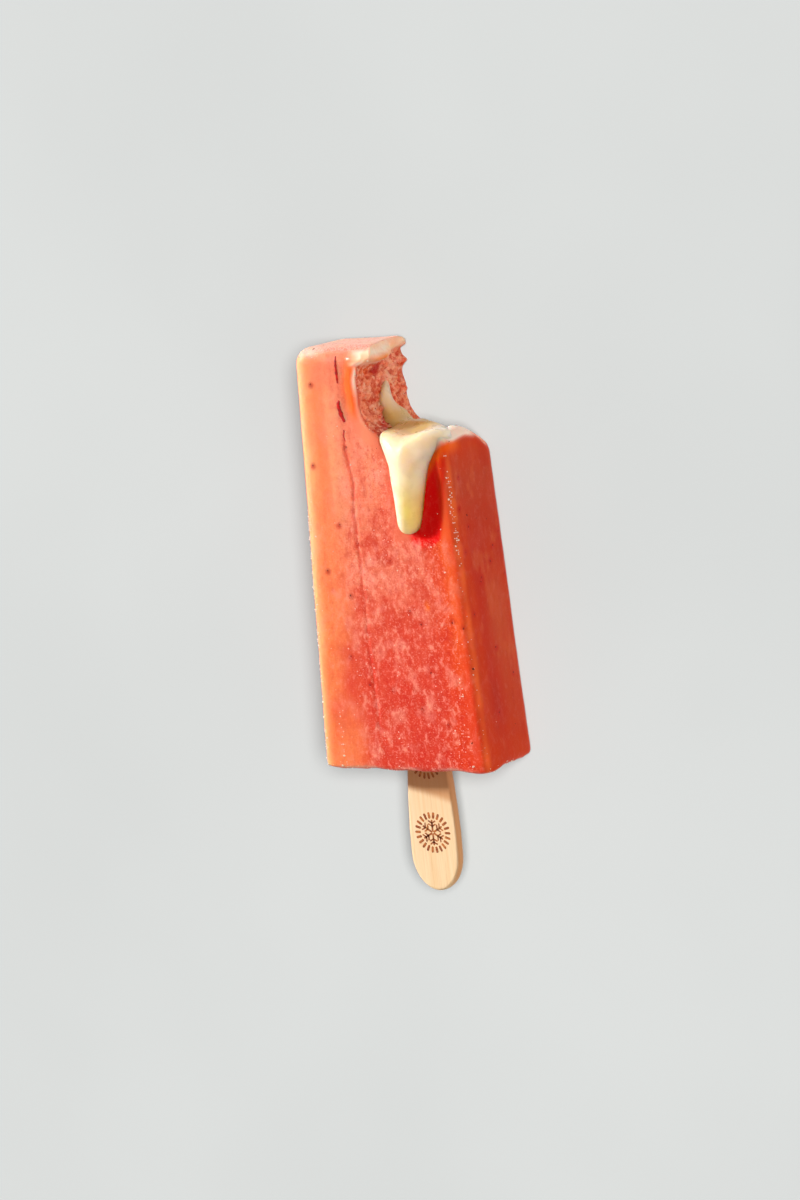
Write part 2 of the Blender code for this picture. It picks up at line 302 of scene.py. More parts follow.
def inside(points):
    """How far points lie below the surface of the whole bar with its round edges, unbitten."""
    x, y, z = points.T
    across = half_width(y) - np.abs(x)
    through = np.minimum(z, depth(y) - z)
    gaps = np.column_stack((across, through, POP_LENGTH - y))
    short = np.linalg.norm(np.clip(SIDE_ROUND - gaps, 0.0, None), axis=1)
    return np.where(short > 0.0, SIDE_ROUND - short, gaps.min(axis=1))


def hidden_share(points):
    """1 on the walls of the hollows that the filling and the stick lie in, 0 on what shows."""
    x, y, z = points.T
    across = (np.abs(x) / CORE_HALF_WIDTH) ** CORE_SQUARENESS
    through = (np.abs(z - MID_DEPTH) / CORE_HALF_THICKNESS) ** CORE_SQUARENESS
    core = (across + through) ** (1.0 / CORE_SQUARENESS)
    near_core = (1.0 - smooth(core, 1.03, 1.12)) * smooth(inside(points), 1.5, 2.5)
    near_core *= 1.0 - smooth(y, CORE_END_Y - 2.0, CORE_END_Y)
    near_core *= 1.0 - smooth(x - wall_x(y, z), -1.6, -0.9) * smooth(y, 87.5, 88.5)
    slot = (1.0 - smooth(np.abs(x), 8.6, 9.0)) * (1.0 - smooth(np.abs(z - MID_DEPTH), 2.0, 2.3))
    near_slot = slot * (1.0 - smooth(y, 60.0, 61.0)) * smooth(y, -0.4, 0.4)
    return np.maximum(near_core * (y > 16.0), near_slot)


def crease_x(y):
    """Where the long crease in the front face runs."""
    return np.interp(
        y,
        (0.0, 12.0, 30.0, 45.0, 60.0, 68.0, 75.0, 84.0, 92.0),
        (-4.4, -6.3, -6.9, -6.5, -6.6, -7.0, -6.1, -7.6, -7.8),
    )


def surface_distance(points, targets):
    """Distance from each point to the nearest target point."""
    tree = KDTree(len(targets))
    for index, target in enumerate(targets):
        tree.insert(target, index)
    tree.balance()
    return np.array([tree.find(point)[2] for point in points])


def mouth_plug():
    """A slab of ice just behind the bite's wall, round the tongue of filling that shows there."""
    heights, levels = np.arange(87.7, 101.5, 0.4), np.arange(5.5, 17.5, 0.5)
    y, z = (grid.ravel() for grid in np.meshgrid(heights, levels, indexing="ij"))
    below = np.clip(BITE_FLOOR_Y + BITE_CORNER - y, 0.0, BITE_CORNER)
    foot = BITE_CORNER - np.sqrt(BITE_CORNER**2 - below**2)
    outer = np.column_stack((wall_x(y, z) + foot - 0.1, y, z))
    points = np.concatenate((outer, outer - (4.0, 0.0, 0.0)))
    rows, columns, back = len(heights), len(levels), len(outer)
    faces = []
    for row, column in itertools.product(range(rows - 1), range(columns - 1)):
        at = row * columns + column
        ring = (at, at + columns, at + columns + 1, at + 1)
        faces.append(ring)
        faces.append(tuple(back + index for index in reversed(ring)))
    edge = [column for column in range(columns)]
    edge += [row * columns + columns - 1 for row in range(1, rows)]
    edge += [(rows - 1) * columns + column for column in range(columns - 2, -1, -1)]
    edge += [row * columns for row in range(rows - 2, 0, -1)]
    for one, two in zip(edge, edge[1:] + edge[:1]):
        faces.append((one, two, back + two, back + one))
    return points, faces


def ice_surface():
    """The bar's mesh with its frozen surface, and what is known of every point."""
    whole = bmesh.new()
    whole.from_mesh(cad_copy("ice_body"))
    points, faces = mouth_plug()
    corners = [whole.verts.new(point) for point in points]
    for face in faces:
        whole.faces.new([corners[index] for index in face])
    joined = bpy.data.meshes.new("bar_and_plug")
    whole.to_mesh(joined)
    whole.free()
    mesh = remeshed(joined, ICE_VOXEL)
    points = relax(mesh, piece_points(mesh), 2)
    set_points(mesh, points)
    facing = piece_normals(mesh)
    x, y, z = points.T
    still = hidden_share(points)
    deep = inside(points)
    bitten = smooth(deep, 0.3, 1.0) * (y > 76.0) * (x > -7.0) * (1.0 - still)
    to_bite = np.full(len(points), 99.0)
    nearby = (y > 70.0) & (x > -16.0)
    to_bite[nearby] = surface_distance(points[nearby], points[bitten > 0.6])
    facts = {
        "start": points,
        "facing": facing,
        "still": still,
        "bitten": bitten,
        "to_bite": to_bite,
        "front": smooth(facing[:, 2], 0.55, 0.85) * (1.0 - bitten),
        "back": smooth(-facing[:, 2], 0.55, 0.85) * (1.0 - bitten),
        "right": smooth(facing[:, 0], 0.55, 0.85) * (1.0 - bitten),
        "left": smooth(-facing[:, 0], 0.55, 0.85) * (1.0 - bitten),
        "tip": smooth(facing[:, 1], 0.55, 0.85) * (1.0 - bitten),
        "end": smooth(-facing[:, 1], 0.55, 0.85) * (1.0 - bitten),
    }
    facts["crumb"] = crumb_relief(points, facts)
    rise = frozen_relief(points, facts)
    moved = points + facing * rise[:, None]
    moved[:, 1] -= rim_drop(points) * (1.0 - still)
    moved += brow_swell(points) * (1.0 - still)[:, None]
    covered = 1.0 - smooth(flow_field(*moved.T), -0.3, 0.35)
    sink = UNDER_MILK * covered * (y > 60.0) * (1.0 - smooth(x, 16.0, 21.0))
    sink *= 1.0 - smooth(y, 90.0, 92.0)
    moved -= facing * (sink * (1.0 - still))[:, None]
    moved[:, 2] = np.maximum(moved[:, 2], 0.0)
    set_points(mesh, moved)
    return mesh, facts


def frozen_relief(points, facts):
    """How far each point stands out of the CAD surface."""
    x, y, z = points.T
    outer = (1.0 - facts["bitten"]) * (1.0 - facts["still"])
    rise = 0.11 * cloud(points, 11.0, 3) + 0.035 * cloud(points, 2.2, 7)
    # Soft upright flutes, strongest at the upper left of the front.
    upper = facts["front"] * smooth(y, 48.0, 80.0) * (1.0 - smooth(x, -4.0, 4.0))
    drift = x + 0.5 * noise(points, (50.0, 22.0, 50.0), 11)
    rise += (0.03 + 0.1 * upper) * noise(np.column_stack((drift, y, z)), (2.2, 60.0, 60.0), 12)
    # The crease, with a low ridge along its right side.
    away = x - crease_x(y) - 0.25 * noise(points, (30.0, 5.0, 30.0), 13)
    reach = smooth(y, -2.0, 6.0) * (1.0 - smooth(y, 84.0, 92.0)) * facts["front"]
    kept = 0.55 + 0.45 * noise(points, (30.0, 7.0, 30.0), 14)
    rise -= 0.42 * bell(away, 0.0, 0.4) * reach * kept
    rise += 0.13 * bell(away, 0.95, 0.5) * reach * kept
    # A melted lip along the bite's front border.
    to_bite = facts["to_bite"]
    lip = facts["front"] * smooth(y, 88.0, 97.0) * (0.8 + 0.3 * noise(points, 4.0, 15))
    rise += 0.5 * bell(to_bite, 1.7, 1.0) * lip - 0.2 * bell(to_bite, 4.0, 1.0) * lip
    # The sides have a few long soft steps.
    rise += 0.12 * facts["right"] * noise(np.column_stack((x, y, z)), (60.0, 45.0, 3.2), 16)
    facing = facts["facing"]
    rise += 0.75 * np.clip(2.0 * facing[:, 0] * facing[:, 2], 0.0, 1.0) ** 2
    rise *= outer
    rise = np.where(z < 1.5, np.minimum(rise, 0.0), rise)
    return rise + facts["bitten"] * facts["crumb"]


def crumb_relief(points, facts):
    """The broken ice of the bite: rounded crystals with pits between them."""
    x, y, z = points.T
    crumb = np.zeros(len(points))
    at = facts["bitten"] > 0.0
    spots = points[at] + 0.5 * np.column_stack([noise(points[at], 1.5, seed) for seed in (71, 72, 73)])
    draw = np.random.default_rng(74)
    low, high = spots.min(axis=0), spots.max(axis=0)
    seeds = draw.uniform(low, high, (int(np.prod(high - low) / CRYSTAL_SIZE**3), 3))
    heights = draw.uniform(-0.5, 0.5, len(seeds))
    tree = KDTree(len(seeds))
    for index, seed in enumerate(seeds):
        tree.insert(seed, index)
    tree.balance()
    values = []
    for spot in spots:
        (_, first, near), (_, _, far) = tree.find_n(spot, 2)
        values.append((heights[first], near, far))
    level, near, far = np.array(values).T
    groove = 1.0 - smooth(far - near, 0.0, 0.6)
    crumb[at] = level * 0.6 - 0.55 * groove + 0.6 * cloud(points[at], 3.4, 75, 3, 0.6)
    wall = 1.0 - smooth(x, 1.0, 6.0)
    crumb *= (0.3 + 0.7 * wall) * (1.0 - 0.9 * smooth(x, 10.0, 14.0))
    return crumb * (1.0 - 0.85 * smooth(y - brow_foot(points), -0.7, 0.5))


def fruit_spot(points):
    """A piece of red fruit in the wall, under the brow."""
    away = np.hypot((points[:, 1] - 102.7) / 1.8, (points[:, 2] - 12.6) / 1.9)
    return 1.0 - smooth(away + 0.3 * noise(points, 1.2, 64), 0.6, 1.2)


def brow_foot(points):
    """The height at which the brow's lower edge lies on the wall."""
    level = np.interp(points[:, 2], (0.0, 5.0, 9.0, 13.0, 17.0, 20.5), (107.4, 106.8, 105.6, 104.9, 104.7, 105.0))
    return level + 0.6 * noise(points, (9.0, 9.0, 3.2), 57)


def brow_swell(points):
    """The wall's top leans out as a lumpy brow, and the floor's right rim swells up."""
    x, y, z = points.T
    out = np.zeros((len(points), 3))
    wall = smooth(x, -5.5, -2.5) * (1.0 - smooth(x, 8.0, 12.0))
    lumps = 1.0 + 0.4 * noise(points, (6.0, 5.0, 3.0), 77)
    ledge = smooth(y - brow_foot(points), -0.5, 0.9)
    hollow = bell(y - brow_foot(points), -2.6, 1.7) * bell(z, 14.0, 5.0)
    spike = 0.9 * np.clip(1.0 - np.abs(y - 103.4) / 1.3, 0.0, 1.0) * (1.0 - smooth(z, 1.0, 4.0))
    ledge *= 0.3 + 1.1 * bell(y - brow_foot(points), 1.7, 2.0)
    brow = wall * ledge * (1.0 + 0.45 * smooth(z, 8.0, 12.0))
    lump = bell(z, 16.5, 4.2) * bell(y - brow_foot(points), 1.5, 1.8)
    out[:, 0] = BROW_OUT * brow * lumps + wall * (spike + 1.5 * lump - 0.9 * hollow)
    out[:, 1] = 0.6 * brow * (lumps - 0.9)
    out[:, 2] = 0.5 * brow * smooth(z, 17.0, 22.0)
    rim = smooth(x, 15.5, 19.5) * smooth(y, 76.0, 81.5) * (1.0 - smooth(y, 92.0, 95.0))
    rim *= np.interp(z, (0.0, 3.0, 6.0, 10.0, 14.0, 18.0, 23.0), (1.2, 1.7, 1.5, 0.9, 0.3, 0.0, 0.0))
    out[:, 1] += RIM_UP * rim
    return out


def rim_drop(points):
    """How far the ragged rim of the stick's end hangs below the flat end face."""
    x, y, z = points.T
    level = np.column_stack((x, np.zeros(len(x)), z))
    ragged = 0.35 + 0.75 * cloud(level, 7.0, 31, 3, 0.6)
    rim = 1.0 - smooth(inside(level), 0.4, 3.5)
    return np.clip(ragged, -0.4, 1.1) * (1.0 - smooth(y, 0.6, 2.6)) * (0.25 + 0.75 * rim)


def ice_tint(points, facts):
    """The bar's colour at each point, without its fine grain: its own colour with painted shadow, shade, highlights
    and glow laid on.
    """
    x, y, z = points.T
    wander = points + 1.6 * np.column_stack(
        [cloud(points, 9.0, seed) for seed in (41, 44, 47)]
    )
    wx, wy, wz = wander.T
    span = half_width(y)
    facing = facts["facing"]
    colour = np.tile(CORAL, (len(points), 1))

    def wash(other, share):
        nonlocal colour
        colour = colour + np.clip(share, 0.0, 1.0)[:, None] * (other - colour)

    faces = np.maximum(facts["front"], facts["back"])
    sides = np.maximum(facts["right"], facts["left"])
    left_gap, right_gap = span + wx, span - wx
    outside = 1.0 - facts["bitten"]
    # Front and back: red and grainy low down, peach towards the tip, with a painted orange glow along the edges.
    wash(PEACH, smooth(wy, 22.0, 80.0) * (1.0 - 0.55 * smooth(wx, -6.0, 10.0)) * (1.0 - sides))
    wash(PEACH, 0.35 * bell(wy, 52.0, 14.0) * faces)
    wash(DEEP_RED, 0.7 * faces * (1.0 - smooth(wy, 0.0, 24.0)) * smooth(wx, -4.0, 18.0))
    wash(DEEP_RED, 0.3 * faces * smooth(cloud(points, 9.0, 50, 2), 0.15, 0.5) * smooth(x, -8.0, -4.0))
    wash(SALMON, 0.8 * faces * (1.0 - smooth(wx, -17.0, -8.0)) * smooth(cloud(points, 8.0, 59, 2), -1.0, 0.0))
    # Painted glow of light through the thin left edge, strongest low down.
    low_left = (1.0 - smooth(left_gap, 2.0, 7.5)) * (1.0 - 0.4 * smooth(wy, 20.0, 70.0))
    wash(ORANGE, 0.9 * faces * low_left)
    # Painted highlight along the lit left edge and its rim.
    wash(CREAM_EDGE, (0.5 + 0.25 * smooth(wy, 34.0, 62.0)) * faces * (1.0 - smooth(left_gap, 2.0, 6.5)))
    wash(CREAM_EDGE, 0.8 * (1.0 - smooth(span + x, 0.6, 2.4)))
    # Painted glow of light through the thin right edge: a red band and an orange one.
    wash(EDGE_RED, 0.85 * faces * (1.0 - smooth(right_gap, 5.0, 13.0)) * (1.0 - smooth(wy, 66.0, 80.0)))
    wash(ORANGE, 0.4 * faces * bell(right_gap, 4.0, 2.4) * smooth(wy, 12.0, 40.0))
    streak = noise(np.column_stack((x + 0.8 * noise(points, (50.0, 22.0, 50.0), 11), y, z)), (2.6, 70.0, 70.0), 12)
    upper = faces * smooth(wy, 50.0, 80.0) * (1.0 - smooth(x, -4.0, 6.0))
    wash(CORAL, 0.45 * upper * smooth(streak, 0.1, 0.8))
    wash(CREAM_EDGE, 0.3 * upper * smooth(-streak, 0.1, 0.8))
    # Painted shade along the crease.
    along_crease = bell(x - crease_x(y) - 0.25 * noise(points, (30.0, 5.0, 30.0), 13), 0.0, 0.5)
    along_crease = along_crease * facts["front"] * (1.0 - smooth(y, 84.0, 92.0))
    wash(DEEP_RED, 0.7 * along_crease * smooth(noise(points, (30.0, 7.0, 30.0), 14), -0.7, 0.4))
    # Sides: deeper, smoother, browner near the bite, with a pinker field low at the back.
    wash(SIDE_RED, 0.95 * sides)
    wash(SIDE_WARM, 0.6 * sides * smooth(wy, 50.0, 78.0))
    wash(SIDE_PINK, 0.6 * sides * (1.0 - smooth(wz, 8.0, 14.0)) * (1.0 - smooth(wy, 42.0, 66.0)))
    wash(SIDE_DEEP, 0.6 * sides * smooth(cloud(points, (30.0, 12.0, 3.6), 51, 3, 0.6), 0.0, 0.35))
    wash(SIDE_PALE, 0.55 * facts["right"] * bell(np.hypot((y - 36.0) / 15.0, (z - 9.5) / 4.2), 0.0, 1.0))
    wash(SIDE_PALE, 0.5 * sides * smooth(cloud(points, (30.0, 6.0, 2.6), 56, 3, 0.6), 0.15, 0.5))
    wash(SIDE_ORANGE, 0.75 * facts["right"] * bell(wz, 19.5, 2.2) * (1.0 - smooth(y, 60.0, 76.0)))
    wash(SIDE_ORANGE, 0.6 * facts["right"] * (1.0 - smooth(wy, 2.0, 16.0)))
    wash(SIDE_ORANGE, 0.7 * facts["right"] * smooth(wy, 74.0, 83.0))
    # Painted highlight line along the rounded front-right edge.
    edge = bell(facing[:, 0] - facing[:, 2], 0.1, 0.32) * smooth(facing[:, 0] + facing[:, 2], 0.9, 1.3)
    edge = edge * outside * (1.0 - smooth(y, 80.0, 84.0))
    wash(EDGE_HIGHLIGHT, edge * (0.45 + 0.35 * smooth(noise(points, (9.0, 3.0, 9.0), 52), -0.3, 0.6)))
    blotched = points[:, :2] + 0.9 * np.column_stack([noise(points, 1.8, seed) for seed in (62, 63)])
    for spot, reach, other, share in BLOTCHES:
        away = np.linalg.norm(blotched - spot, axis=1)
        wash(other, share * facts["front"] * (1.0 - smooth(away, 0.3 * reach, reach)))
    wash(FROST_AND_HIGHLIGHT, 0.6 * facts["front"] * bell(y, 0.3, 0.6) * smooth(noise(points, 4.0, 65), -0.8, 0.2))
    # Painted shadow of the drip: deep red on the front beside it, turning orange-brown towards the right edge.
    right_of = np.interp(y, DRIP_SHADOW_EDGE_Y, DRIP_SHADOW_EDGE_X)
    wet_gloss_and_drip_shadow = smooth(right_of - x, -0.5, 0.9) * smooth(x, 9.0, 11.0) * smooth(y, 57.0, 59.4)
    wash(DRIP_SHADOW_RED, wet_gloss_and_drip_shadow * facts["front"] * (1.0 - smooth(y, 82.0, 86.0)))
    wash(SIDE_ORANGE, 0.8 * wet_gloss_and_drip_shadow * facts["front"] * smooth(x, 18.6, 21.0) * (1.0 - smooth(y, 82.0, 86.0)))
    # The thin ice at the bite has a painted orange glow of light through it, and the broken ice is a dusty pink.
    to_bite = facts["to_bite"] + 0.7 * noise(points, (5.0, 6.0, 5.0), 53)
    lip = (1.0 - smooth(to_bite, 2.4, 5.4)) * facts["front"] * smooth(y, 88.0, 96.0)
    wash(LIP_GLOW_ORANGE, 0.97 * lip)
    # Painted highlight along the lip's edge.
    shine = bell(facts["to_bite"], 0.8, 0.4) * (0.3 + 0.6 * bell(y, 101.5, 3.5)) * facts["front"]
    wash(FROST_GRAIN_AND_HIGHLIGHT, shine * smooth(y, 87.0, 92.0) * (1.0 - smooth(y, 104.0, 106.0)) * (x < 1.0))
    bitten = facts["bitten"]
    wash(BITE_PINK, bitten)
    # Painted shade: a deeper red where the broken ice lies lowest.
    wash(BITE_RED, 0.6 * bitten * smooth(-facts["crumb"], 0.15, 0.65) * (1.0 - smooth(x, 11.0, 15.0)))
    ridge = bell(z, np.interp(y, (95.0, 99.6, 106.4), (7.4, 6.7, 3.9)), 2.2) * smooth(y, 97.0, 100.0)
    wash(BITE_PALE, 0.7 * bitten * ridge)
    # Painted orange glow on the wall under the brow.
    under = bitten * smooth(y, 100.5, 103.5) * bell(z, 17.5, 3.4)
    wash(LIP_GLOW_ORANGE, 0.6 * under)
    wash(FRUIT_RED, bitten * fruit_spot(points))
    # Painted shade in the crevice beside the tongue.
    crevice = y - np.interp(z, (5.0, 10.0, 16.0, 21.0), (93.5, 91.8, 88.4, 87.0))
    wash(BITE_SHADE_RED, 0.8 * bitten * bell(crevice, 0.4, 1.1) * smooth(z, 6.0, 9.0) * (1.0 - smooth(x, 2.5, 4.0)))
    over = y - brow_foot(points)
    brow = smooth(over, -0.7, 0.5) * smooth(x, -4.8, -2.6)
    wash(BROW_PEACH, 0.9 * brow * smooth(z, 0.5, 3.0))
    # On the brow: a painted orange glow on its belly, a painted highlight round its edges and painted shade under it.
    wash(BROW_GLOW_ORANGE, 0.95 * brow * bell(over, 1.2, 1.5) * bell(z, 16.0, 4.5) * smooth(x, -3.5, -1.5))
    wash(FROST_GRAIN_AND_HIGHLIGHT, 0.7 * brow * (bell(over, -0.2, 0.5) + bell(over, 3.4, 0.9)) * smooth(z, 9.0, 13.0))
    wash(BITE_SHADE_RED, 0.45 * bitten * bell(over, -1.0, 0.6) * bell(z, 13.5, 4.5))
    wash(FROST_PINK, 0.75 * facts["tip"])
    wash(FIBRE_RED, 0.7 * facts["tip"] * smooth(noise(points, (16.0, 50.0, 1.3), 54), 0.15, 0.55))
    # Painted highlight on the top left corner.
    wash(FROST_AND_HIGHLIGHT, 0.8 * bell(x, -17.0, 4.0) * smooth(y, 106.8, 108.6) * smooth(z, 18.0, 21.0) * outside)
    # The rounded rim right of the drip, under a film of milk and frost.
    rim = smooth(y, 82.0, 84.6) * smooth(x, 12.0, 15.0) * (1.0 - smooth(y, 94.0, 97.0))
    rim *= smooth(facing[:, 1], 0.02, 0.4)
    over = y - np.interp(x, (15.0, 17.7, 19.5, 22.4, 24.0), (78.0, 80.6, 83.0, 85.2, 86.0))
    over = over + 0.4 * noise(points, 2.0, 58)
    beside = smooth(x, 14.5, 16.5) * smooth(z, 14.0, 19.0)
    # Painted orange glow on the front below the rim.
    wash(LIP_GLOW_ORANGE, 0.8 * beside * smooth(over, -5.0, -1.5))
    rim = np.maximum(rim, smooth(over, -1.2, 1.6) * beside)
    wash(RIM_FROST, 0.95 * rim * smooth(z, 2.0, 9.0))
    wash(CREAM, 0.6 * rim * (1.0 - smooth(x, 16.5, 20.0)) * smooth(z, 8.0, 14.0))
    for spot in SHOWN_SEEDS:
        away = np.linalg.norm(points - spot, axis=1)
        wash(HALO, 0.75 * (1.0 - smooth(away, 0.3, 1.3)))
    return colour


def ice_material():
    """Fruit ice: a scattering body with a fine pale grain, frosted patches and a thin glossy coat like melt water."""
    look = Recipe("fruit_ice")
    grain = look.read("grain")
    crumbs = look.read("crumbs")
    fine = look.noise(0.45, 2.0, 0.5)
    coarse = look.noise(1.0, 4.0, 0.62, place=look.stretch((700.0, 480.0, 700.0)))
    patch = look.noise(1.0, 5.0, 0.62, place=look.stretch((210.0, 120.0, 210.0)), warp=0.5)
    colour = look.read("tint", "Color")
    for value, low, high, strength, other in (
        (patch, 0.5, 0.34, 0.45, GRAIN_RED),
        (patch, 0.5, 0.66, 0.5, VEIL),
        (coarse, 0.5, 0.32, 0.45, GRAIN_RED),
        (coarse, 0.51, 0.72, 0.6, GRAIN_PALE),
        (fine, 0.5, 0.25, 0.35, GRAIN_RED),
        (fine, 0.54, 0.78, 0.5, GRAIN_PALE),
    ):
        share = look.math("MULTIPLY", look.band(value, low, high), grain)
        colour = look.mix(look.math("MULTIPLY", share, strength), colour, other)
    # Broken ice: pale crystals with red pits between them.
    chunks = look.noise(1.5, 3.0, 0.6)
    pits = look.math("MULTIPLY", look.band(chunks, 0.48, 0.38), crumbs)
    colour = look.mix(look.math("MULTIPLY", pits, 0.7), colour, BITE_RED)
    facets = look.math("MULTIPLY", look.band(chunks, 0.53, 0.62), crumbs)
    colour = look.mix(look.math("MULTIPLY", facets, 0.7), colour, BITE_PALE)
    icing = look.math("MULTIPLY", look.read("frost"), look.band(fine, 0.3, 0.6, 0.3, 1.0))
    colour = look.mix(icing, colour, FROST_AND_HIGHLIGHT)
    skin = look.bump(coarse, 0.14, 0.7)
    skin = look.bump(fine, 0.08, 0.8, skin)
    look.set(
        Base_Color=colour,
        Roughness=0.5,
        Normal=skin,
        Subsurface_Weight=1.0,
        Subsurface_Scale=1.0,
        Subsurface_Radius=(2.4 * MM, 0.6 * MM, 0.35 * MM),
        IOR=1.33,
        Specular_IOR_Level=0.2,
        Coat_Weight=look.read("wet_gloss_and_drip_shadow"),
        Coat_Roughness=0.16,
        Coat_IOR=1.33,
    )
    return look.material


def make_ice():
    mesh, facts = ice_surface()
    points = facts["start"]
    x, y, z = points.T
    upper_left = smooth(y, 55.0, 85.0) * (1.0 - smooth(x, -8.0, 2.0))
    edge = 1.0 - smooth(half_width(y) - np.abs(x), 1.5, 6.5)
    sides = np.maximum(facts["right"], facts["left"])
    grain = (1.0 - 0.6 * smooth(-x, 7.0, 15.0)) * (1.0 - 0.5 * upper_left) * (1.0 - 0.7 * edge) * (1.0 - 0.7 * sides)
    # Less grain where the drip's shadow is painted beside it.
    beside = smooth(x, 2.5, 8.0) * smooth(y, 59.0, 61.0) * (1.0 - smooth(y, 82.0, 86.0))
    grain *= 1.0 - 0.9 * beside * facts["front"]
    grain *= 1.0 - 0.7 * facts["bitten"]
    near_lip = 1.0 - smooth(facts["to_bite"], 3.0, 5.0)
    grain *= 1.0 - 0.9 * near_lip * (1.0 - facts["bitten"])
    frost = 0.5 * facts["tip"]
    wet_gloss_and_drip_shadow = (1.0 - facts["bitten"]) * near_lip * smooth(y, 86.0, 94.0) * (1.0 - 0.8 * smooth(y, 103.0, 105.5))
    wet_gloss_and_drip_shadow = np.maximum(wet_gloss_and_drip_shadow, 0.12 * (1.0 - facts["bitten"]) * (1.0 - 0.8 * sides))
    paint(mesh, "tint", ice_tint(points, facts))
    paint(mesh, "grain", grain)
    paint(mesh, "frost", frost)
    paint(mesh, "wet_gloss_and_drip_shadow", wet_gloss_and_drip_shadow)
    on_rim = smooth(x, 12.0, 16.0) * smooth(y, 80.0, 84.0)
    crumbs = facts["bitten"] * (1.0 - 0.85 * on_rim)
    crumbs *= 1.0 - 0.8 * fruit_spot(points)
    paint(mesh, "crumbs", crumbs * (1.0 - 0.9 * smooth(y - brow_foot(points), -0.7, 0.5)))
    return add_piece("fruit_ice", mesh, ice_material(), ["ice_body"]), facts


# The filling


def cream_material():
    """Sweet milk: pale yellow, glossy and a little see-through."""
    look = Recipe("sweet_milk")
    drift = look.band(look.noise(5.0, 2.0, 0.5), 0.3, 0.7, 0.0, 0.25)
    colour = look.mix(drift, look.read("tint", "Color"), CREAM_DEEP)
    look.set(
        Base_Color=colour,
        Roughness=look.band(look.noise(2.0), 0.3, 0.7, 0.26, 0.36),
        Subsurface_Weight=1.0,
        Subsurface_Scale=1.0,
        Subsurface_Radius=(9.0 * MM, 7.0 * MM, 2.6 * MM),
        IOR=1.4,
    )
    return look.material


def wall_x(y, z):
    """Where the bite's wall stands, without its tooth marks."""
    share = z / depth(y)
    scoop = np.abs(np.sin(math.pi * (share - 0.52) / 0.52))
    return BITE_WALL_X - scoop - 0.5 * np.sin(math.pi * smooth(y, BITE_FLOOR_Y, POP_LENGTH))


def floor_y(x, z, foot_too=True):
    """How high the bite's floor lies, with its round foot at the wall and its notch."""
    share = np.clip(z / depth(BITE_FLOOR_Y), 0.0, 1.0)
    notch = NOTCH_DEPTH * bell(x, NOTCH_X, NOTCH_REACH) * smooth(share, 0.55, 0.95)
    drop = BACK_DROP * smooth(x, 0.0, TIP_HALF) * (1.0 - smooth(share, 0.0, 0.62))
    heel = BITE_WALL_X + BITE_CORNER
    away = np.clip(heel - x, 0.0, BITE_CORNER)
    foot = foot_too * (BITE_CORNER - np.sqrt(BITE_CORNER**2 - away**2))
    return BITE_FLOOR_Y + foot - (notch + drop) * (1.0 - away / BITE_CORNER)


def join_smooth(first, second, reach):
    """The union of two distance fields, blended over a reach."""
    share = np.clip(0.5 + 0.5 * (second - first) / reach, 0.0, 1.0)
    return second + (first - second) * share - reach * share * (1.0 - share)


def cut_smooth(first, second, reach):
    """The part inside both distance fields, with the corner between them rounded."""
    return -join_smooth(-first, -second, reach)


def along(value, stations, column):
    """A column of a list of stations, read between them at the value of the first column."""
    table = np.array(stations)
    return np.interp(value, table[:, 0], table[:, column])


def off_face(x, y, z):
    """How far a place stands out of the front, which turns into the sides over round edges."""
    across, through = half_width(y) - np.abs(x), depth(y) - z
    short = np.hypot(np.clip(SIDE_ROUND - across, 0.0, None), np.clip(SIDE_ROUND - through, 0.0, None))
    return np.where(short > 0.0, short - SIDE_ROUND, -np.minimum(across, through))


def core_field(x, y, z):
    """The bar of filling inside the ice, cut off a little inside the bite's wall and floor."""
    from_cap = np.abs(y - (CORE_START_Y + CORE_END_Y) / 2) - (CORE_END_Y - CORE_START_Y) / 2
    cap = np.sqrt(1.0 - np.clip((from_cap + CORE_CAP) / CORE_CAP, 0.0, 0.999) ** 2)
    across = np.abs(x) / (CORE_HALF_WIDTH * cap)
    through = np.abs(z - MID_DEPTH) / (CORE_HALF_THICKNESS * cap)
    ring = (across**CORE_SQUARENESS + through**CORE_SQUARENESS) ** (1.0 / CORE_SQUARENESS)
    bar = np.maximum((ring - 1.0) * CORE_HALF_THICKNESS * cap, from_cap)
    behind = np.minimum(x - wall_x(y, z) + 1.6, y - floor_y(x, z, False) + 1.6)
    return cut_smooth(bar, behind, 1.2)


def tongue_field(x, y, z):
    """The filling that wells out of the bite's wall: a curved tongue that thins to a point."""
    middle = along(y, TONGUE_STATIONS, 1)
    half = along(y, TONGUE_STATIONS, 2)
    proud = along(y, TONGUE_STATIONS, 3)
    ring = np.sqrt(((z - middle) / half) ** 2 + ((x - wall_x(y, z)) / proud) ** 2)
    return np.maximum((ring - 1.0) * np.minimum(half, proud), y - TONGUE_STATIONS[-1][0])


def pool_field(x, y, z):
    """The filling that lies on the bite's floor, from the wall to the front edge."""
    left = along(z, POOL_STATIONS, 1)
    right = along(z, POOL_STATIONS, 2)
    middle, half = (left + right) / 2, (right - left) / 2
    away = np.abs(x - middle) / half
    round_side = np.sqrt(np.clip(1.0 - away**2.2, 0.0, 1.0))
    thin_side = np.clip(1.0 - away**1.8, 0.0, 1.0) ** 1.3
    dome = np.where(x < middle, round_side, thin_side)
    thick = along(z, POOL_STATIONS, 3) * dome - 0.4 * np.clip(away, 0.0, 1.0) ** 6
    top = cut_smooth(y - floor_y(x, z) - thick, (away - 1.0) * half, 1.4)
    back = POOL_BACK_Z - z
    front = off_face(x, y, z) - np.clip(thick - 1.0, -1.0, 1.6)
    return np.maximum(cut_smooth(cut_smooth(top, front, np.interp(x, (11.0, 18.0), (5.0, 2.0))), back, 1.6), floor_y(x, z) - 2.5 - y)


